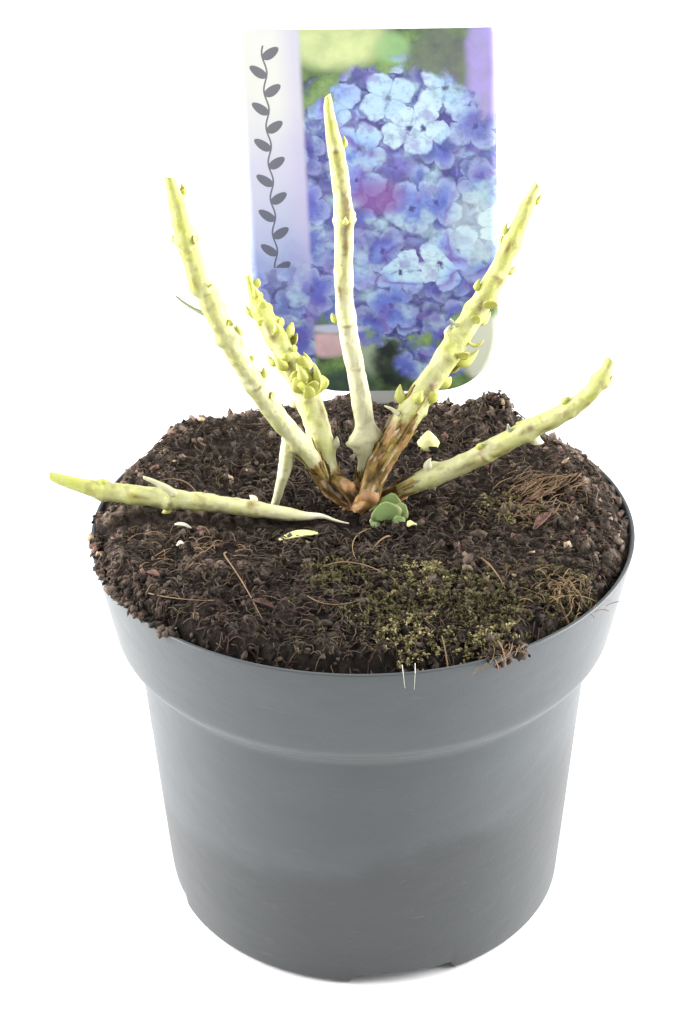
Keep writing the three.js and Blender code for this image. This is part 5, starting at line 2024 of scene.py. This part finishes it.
def make_label(s):
    """The card. The front faces above the spike carry the print."""
    points, place = card_grid(s)
    shell = sheet(points, s.thickness)
    printed = shell.points[shell.faces[0]].mean(axis=1)[:, 2] >= points[place[..., 1] >= 0][:, 2].min()
    finish_of = np.ones(sum(len(f) for f in shell.faces), np.int32)
    finish_of[: len(shell.faces[0])] = np.where(printed, 0, 1)
    uv = np.concatenate([place.reshape(-1, 2)] * 2)
    make_piece("label_card", [shell], [print_finish(s), card_back()], ["label"], finish_of, uv)


# ---- Stage ----


FLOOR_REACH = 8.0
LIT_POINT = (0.0, 0.0, 0.15)


def soft_box(name, power, size, place):
    """A square area light that faces the middle of the plant."""
    light = bpy.data.lights.new(name, "AREA")
    light.energy = power
    light.size = size
    box = bpy.data.objects.new(name, light)
    box.location = place
    box.rotation_euler = (Vector(LIT_POINT) - Vector(place)).to_track_quat("-Z", "Y").to_euler()
    bpy.context.scene.collection.objects.link(box)


def make_stage(s):
    """A wide floor, a white world, three soft boxes and the camera."""
    floor_finish = Finish("floor_pale")
    floor_finish.wear((*s.floor, 1.0), 0.6)
    corner = [(x * FLOOR_REACH, y * FLOOR_REACH, 0.0) for x, y in ((-1, -1), (1, -1), (1, 1), (-1, 1))]
    mesh = bpy.data.meshes.new("floor")
    mesh.from_pydata(corner, [], [(0, 1, 2, 3)])
    mesh.materials.append(floor_finish.material)
    floor = bpy.data.objects.new("floor", mesh)
    bpy.context.scene.collection.objects.link(floor)
    world = bpy.data.worlds.new("studio")
    world.use_nodes = True
    world.node_tree.nodes["Background"].inputs[0].default_value = (1.0, 1.0, 1.0, 1.0)
    world.node_tree.nodes["Background"].inputs[1].default_value = s.sky
    bpy.context.scene.world = world
    soft_box("soft_box_top", s.top, 3.0, (0.0, 0.3, 2.2))
    soft_box("soft_box_left", s.side, s.side_size, (-1.6, 0.17, 0.7))
    soft_box("soft_box_right", s.side, s.side_size, (1.6, 0.17, 0.7))
    bpy.context.scene.view_settings.view_transform = "Standard"
    camera = bpy.data.objects.new("camera", bpy.data.cameras.new("camera"))
    camera.data.lens = s.lens
    camera.data.sensor_width = 36.0
    camera.location = (0.0, -s.camera_distance, s.camera_height)
    look = (Vector(s.aim) - camera.location).to_track_quat("-Z", "Y").to_matrix()
    camera.rotation_euler = (look @ Matrix.Rotation(s.lean, 3, "Z")).to_euler()
    bpy.context.scene.collection.objects.link(camera)
    bpy.context.scene.camera = camera


# ---- Operators ----


class HydrangeaPot(bpy.types.Operator):
    """Make the nursery pot"""

    bl_idname = "hydrangea.pot"
    bl_label = "Pot"

    def execute(self, context):
        make_pot(context.scene.hydrangea_pot)
        return {"FINISHED"}


class HydrangeaCompost(bpy.types.Operator):
    """Make the heaped compost"""

    bl_idname = "hydrangea.compost"
    bl_label = "Compost"

    def execute(self, context):
        make_compost(context.scene.hydrangea_compost)
        return {"FINISHED"}


class HydrangeaCrumbs(bpy.types.Operator):
    """Strew crumbs over the compost and the rim"""

    bl_idname = "hydrangea.crumbs"
    bl_label = "Crumbs"

    def execute(self, context):
        make_crumbs(context.scene.hydrangea_compost)
        return {"FINISHED"}


class HydrangeaFibres(bpy.types.Operator):
    """Strew fibres over the compost"""

    bl_idname = "hydrangea.fibres"
    bl_label = "Fibres"

    def execute(self, context):
        make_fibres(context.scene.hydrangea_compost)
        return {"FINISHED"}


class HydrangeaMoss(bpy.types.Operator):
    """Grow moss in patches"""

    bl_idname = "hydrangea.moss"
    bl_label = "Moss"

    def execute(self, context):
        make_moss(context.scene.hydrangea_compost)
        return {"FINISHED"}


class HydrangeaLitter(bpy.types.Operator):
    """Lay fallen leaves, bark, straws and roots"""

    bl_idname = "hydrangea.litter"
    bl_label = "Litter"

    def execute(self, context):
        make_litter(context.scene.hydrangea_compost)
        return {"FINISHED"}


class HydrangeaStool(bpy.types.Operator):
    """Make the woody stool with its peeling bark"""

    bl_idname = "hydrangea.stool"
    bl_label = "Stool"

    def execute(self, context):
        make_stool(context.scene.hydrangea_canes)
        return {"FINISHED"}


class HydrangeaCanes(bpy.types.Operator):
    """Make the canes"""

    bl_idname = "hydrangea.canes"
    bl_label = "Canes"

    def execute(self, context):
        make_canes(context.scene.hydrangea_canes)
        return {"FINISHED"}


class HydrangeaBuds(bpy.types.Operator):
    """Set buds on the canes and at the foot of the stool"""

    bl_idname = "hydrangea.buds"
    bl_label = "Buds"

    def execute(self, context):
        make_buds(context.scene.hydrangea_canes)
        make_basal_bud(context.scene.hydrangea_canes)
        return {"FINISHED"}


class HydrangeaTwigs(bpy.types.Operator):
    """Add dead twigs and side shoots"""

    bl_idname = "hydrangea.twigs"
    bl_label = "Twigs"

    def execute(self, context):
        make_twigs(context.scene.hydrangea_canes)
        return {"FINISHED"}


class HydrangeaLabel(bpy.types.Operator):
    """Make the picture label"""

    bl_idname = "hydrangea.label"
    bl_label = "Label"

    def execute(self, context):
        make_label(context.scene.hydrangea_label)
        return {"FINISHED"}


class HydrangeaStage(bpy.types.Operator):
    """Set up the floor, the lights and the camera"""

    bl_idname = "hydrangea.stage"
    bl_label = "Stage"

    def execute(self, context):
        make_stage(context.scene.hydrangea_stage)
        return {"FINISHED"}


OPERATORS = (
    HydrangeaPot, HydrangeaCompost, HydrangeaCrumbs, HydrangeaFibres, HydrangeaMoss, HydrangeaLitter,
    HydrangeaStool, HydrangeaCanes, HydrangeaBuds, HydrangeaTwigs, HydrangeaLabel, HydrangeaStage,
)


class HydrangeaPanel(bpy.types.Panel):
    """Lists the pieces of the plant"""

    bl_idname = "VIEW3D_PT_hydrangea"
    bl_label = "Potted hydrangea"
    bl_space_type = "VIEW_3D"
    bl_region_type = "UI"
    bl_category = "Hydrangea"

    def draw(self, context):
        for operator in OPERATORS:
            self.layout.operator(operator.bl_idname)


CLASSES = (*GROUPS.values(), *OPERATORS, HydrangeaPanel)


def register():
    for made in CLASSES:
        bpy.utils.register_class(made)
    for name, group in GROUPS.items():
        setattr(bpy.types.Scene, name, PointerProperty(type=group))


def unregister():
    for name in GROUPS:
        delattr(bpy.types.Scene, name)
    for made in reversed(CLASSES):
        bpy.utils.unregister_class(made)


def main():
    """Builds every piece in order."""
    register()
    for operator in OPERATORS:
        call = getattr(bpy.ops.hydrangea, operator.bl_idname.split(".")[1])
        if call() != {"FINISHED"}:
            raise RuntimeError(f"{operator.bl_label} wasn't made")


if __name__ == "__main__":
    main()
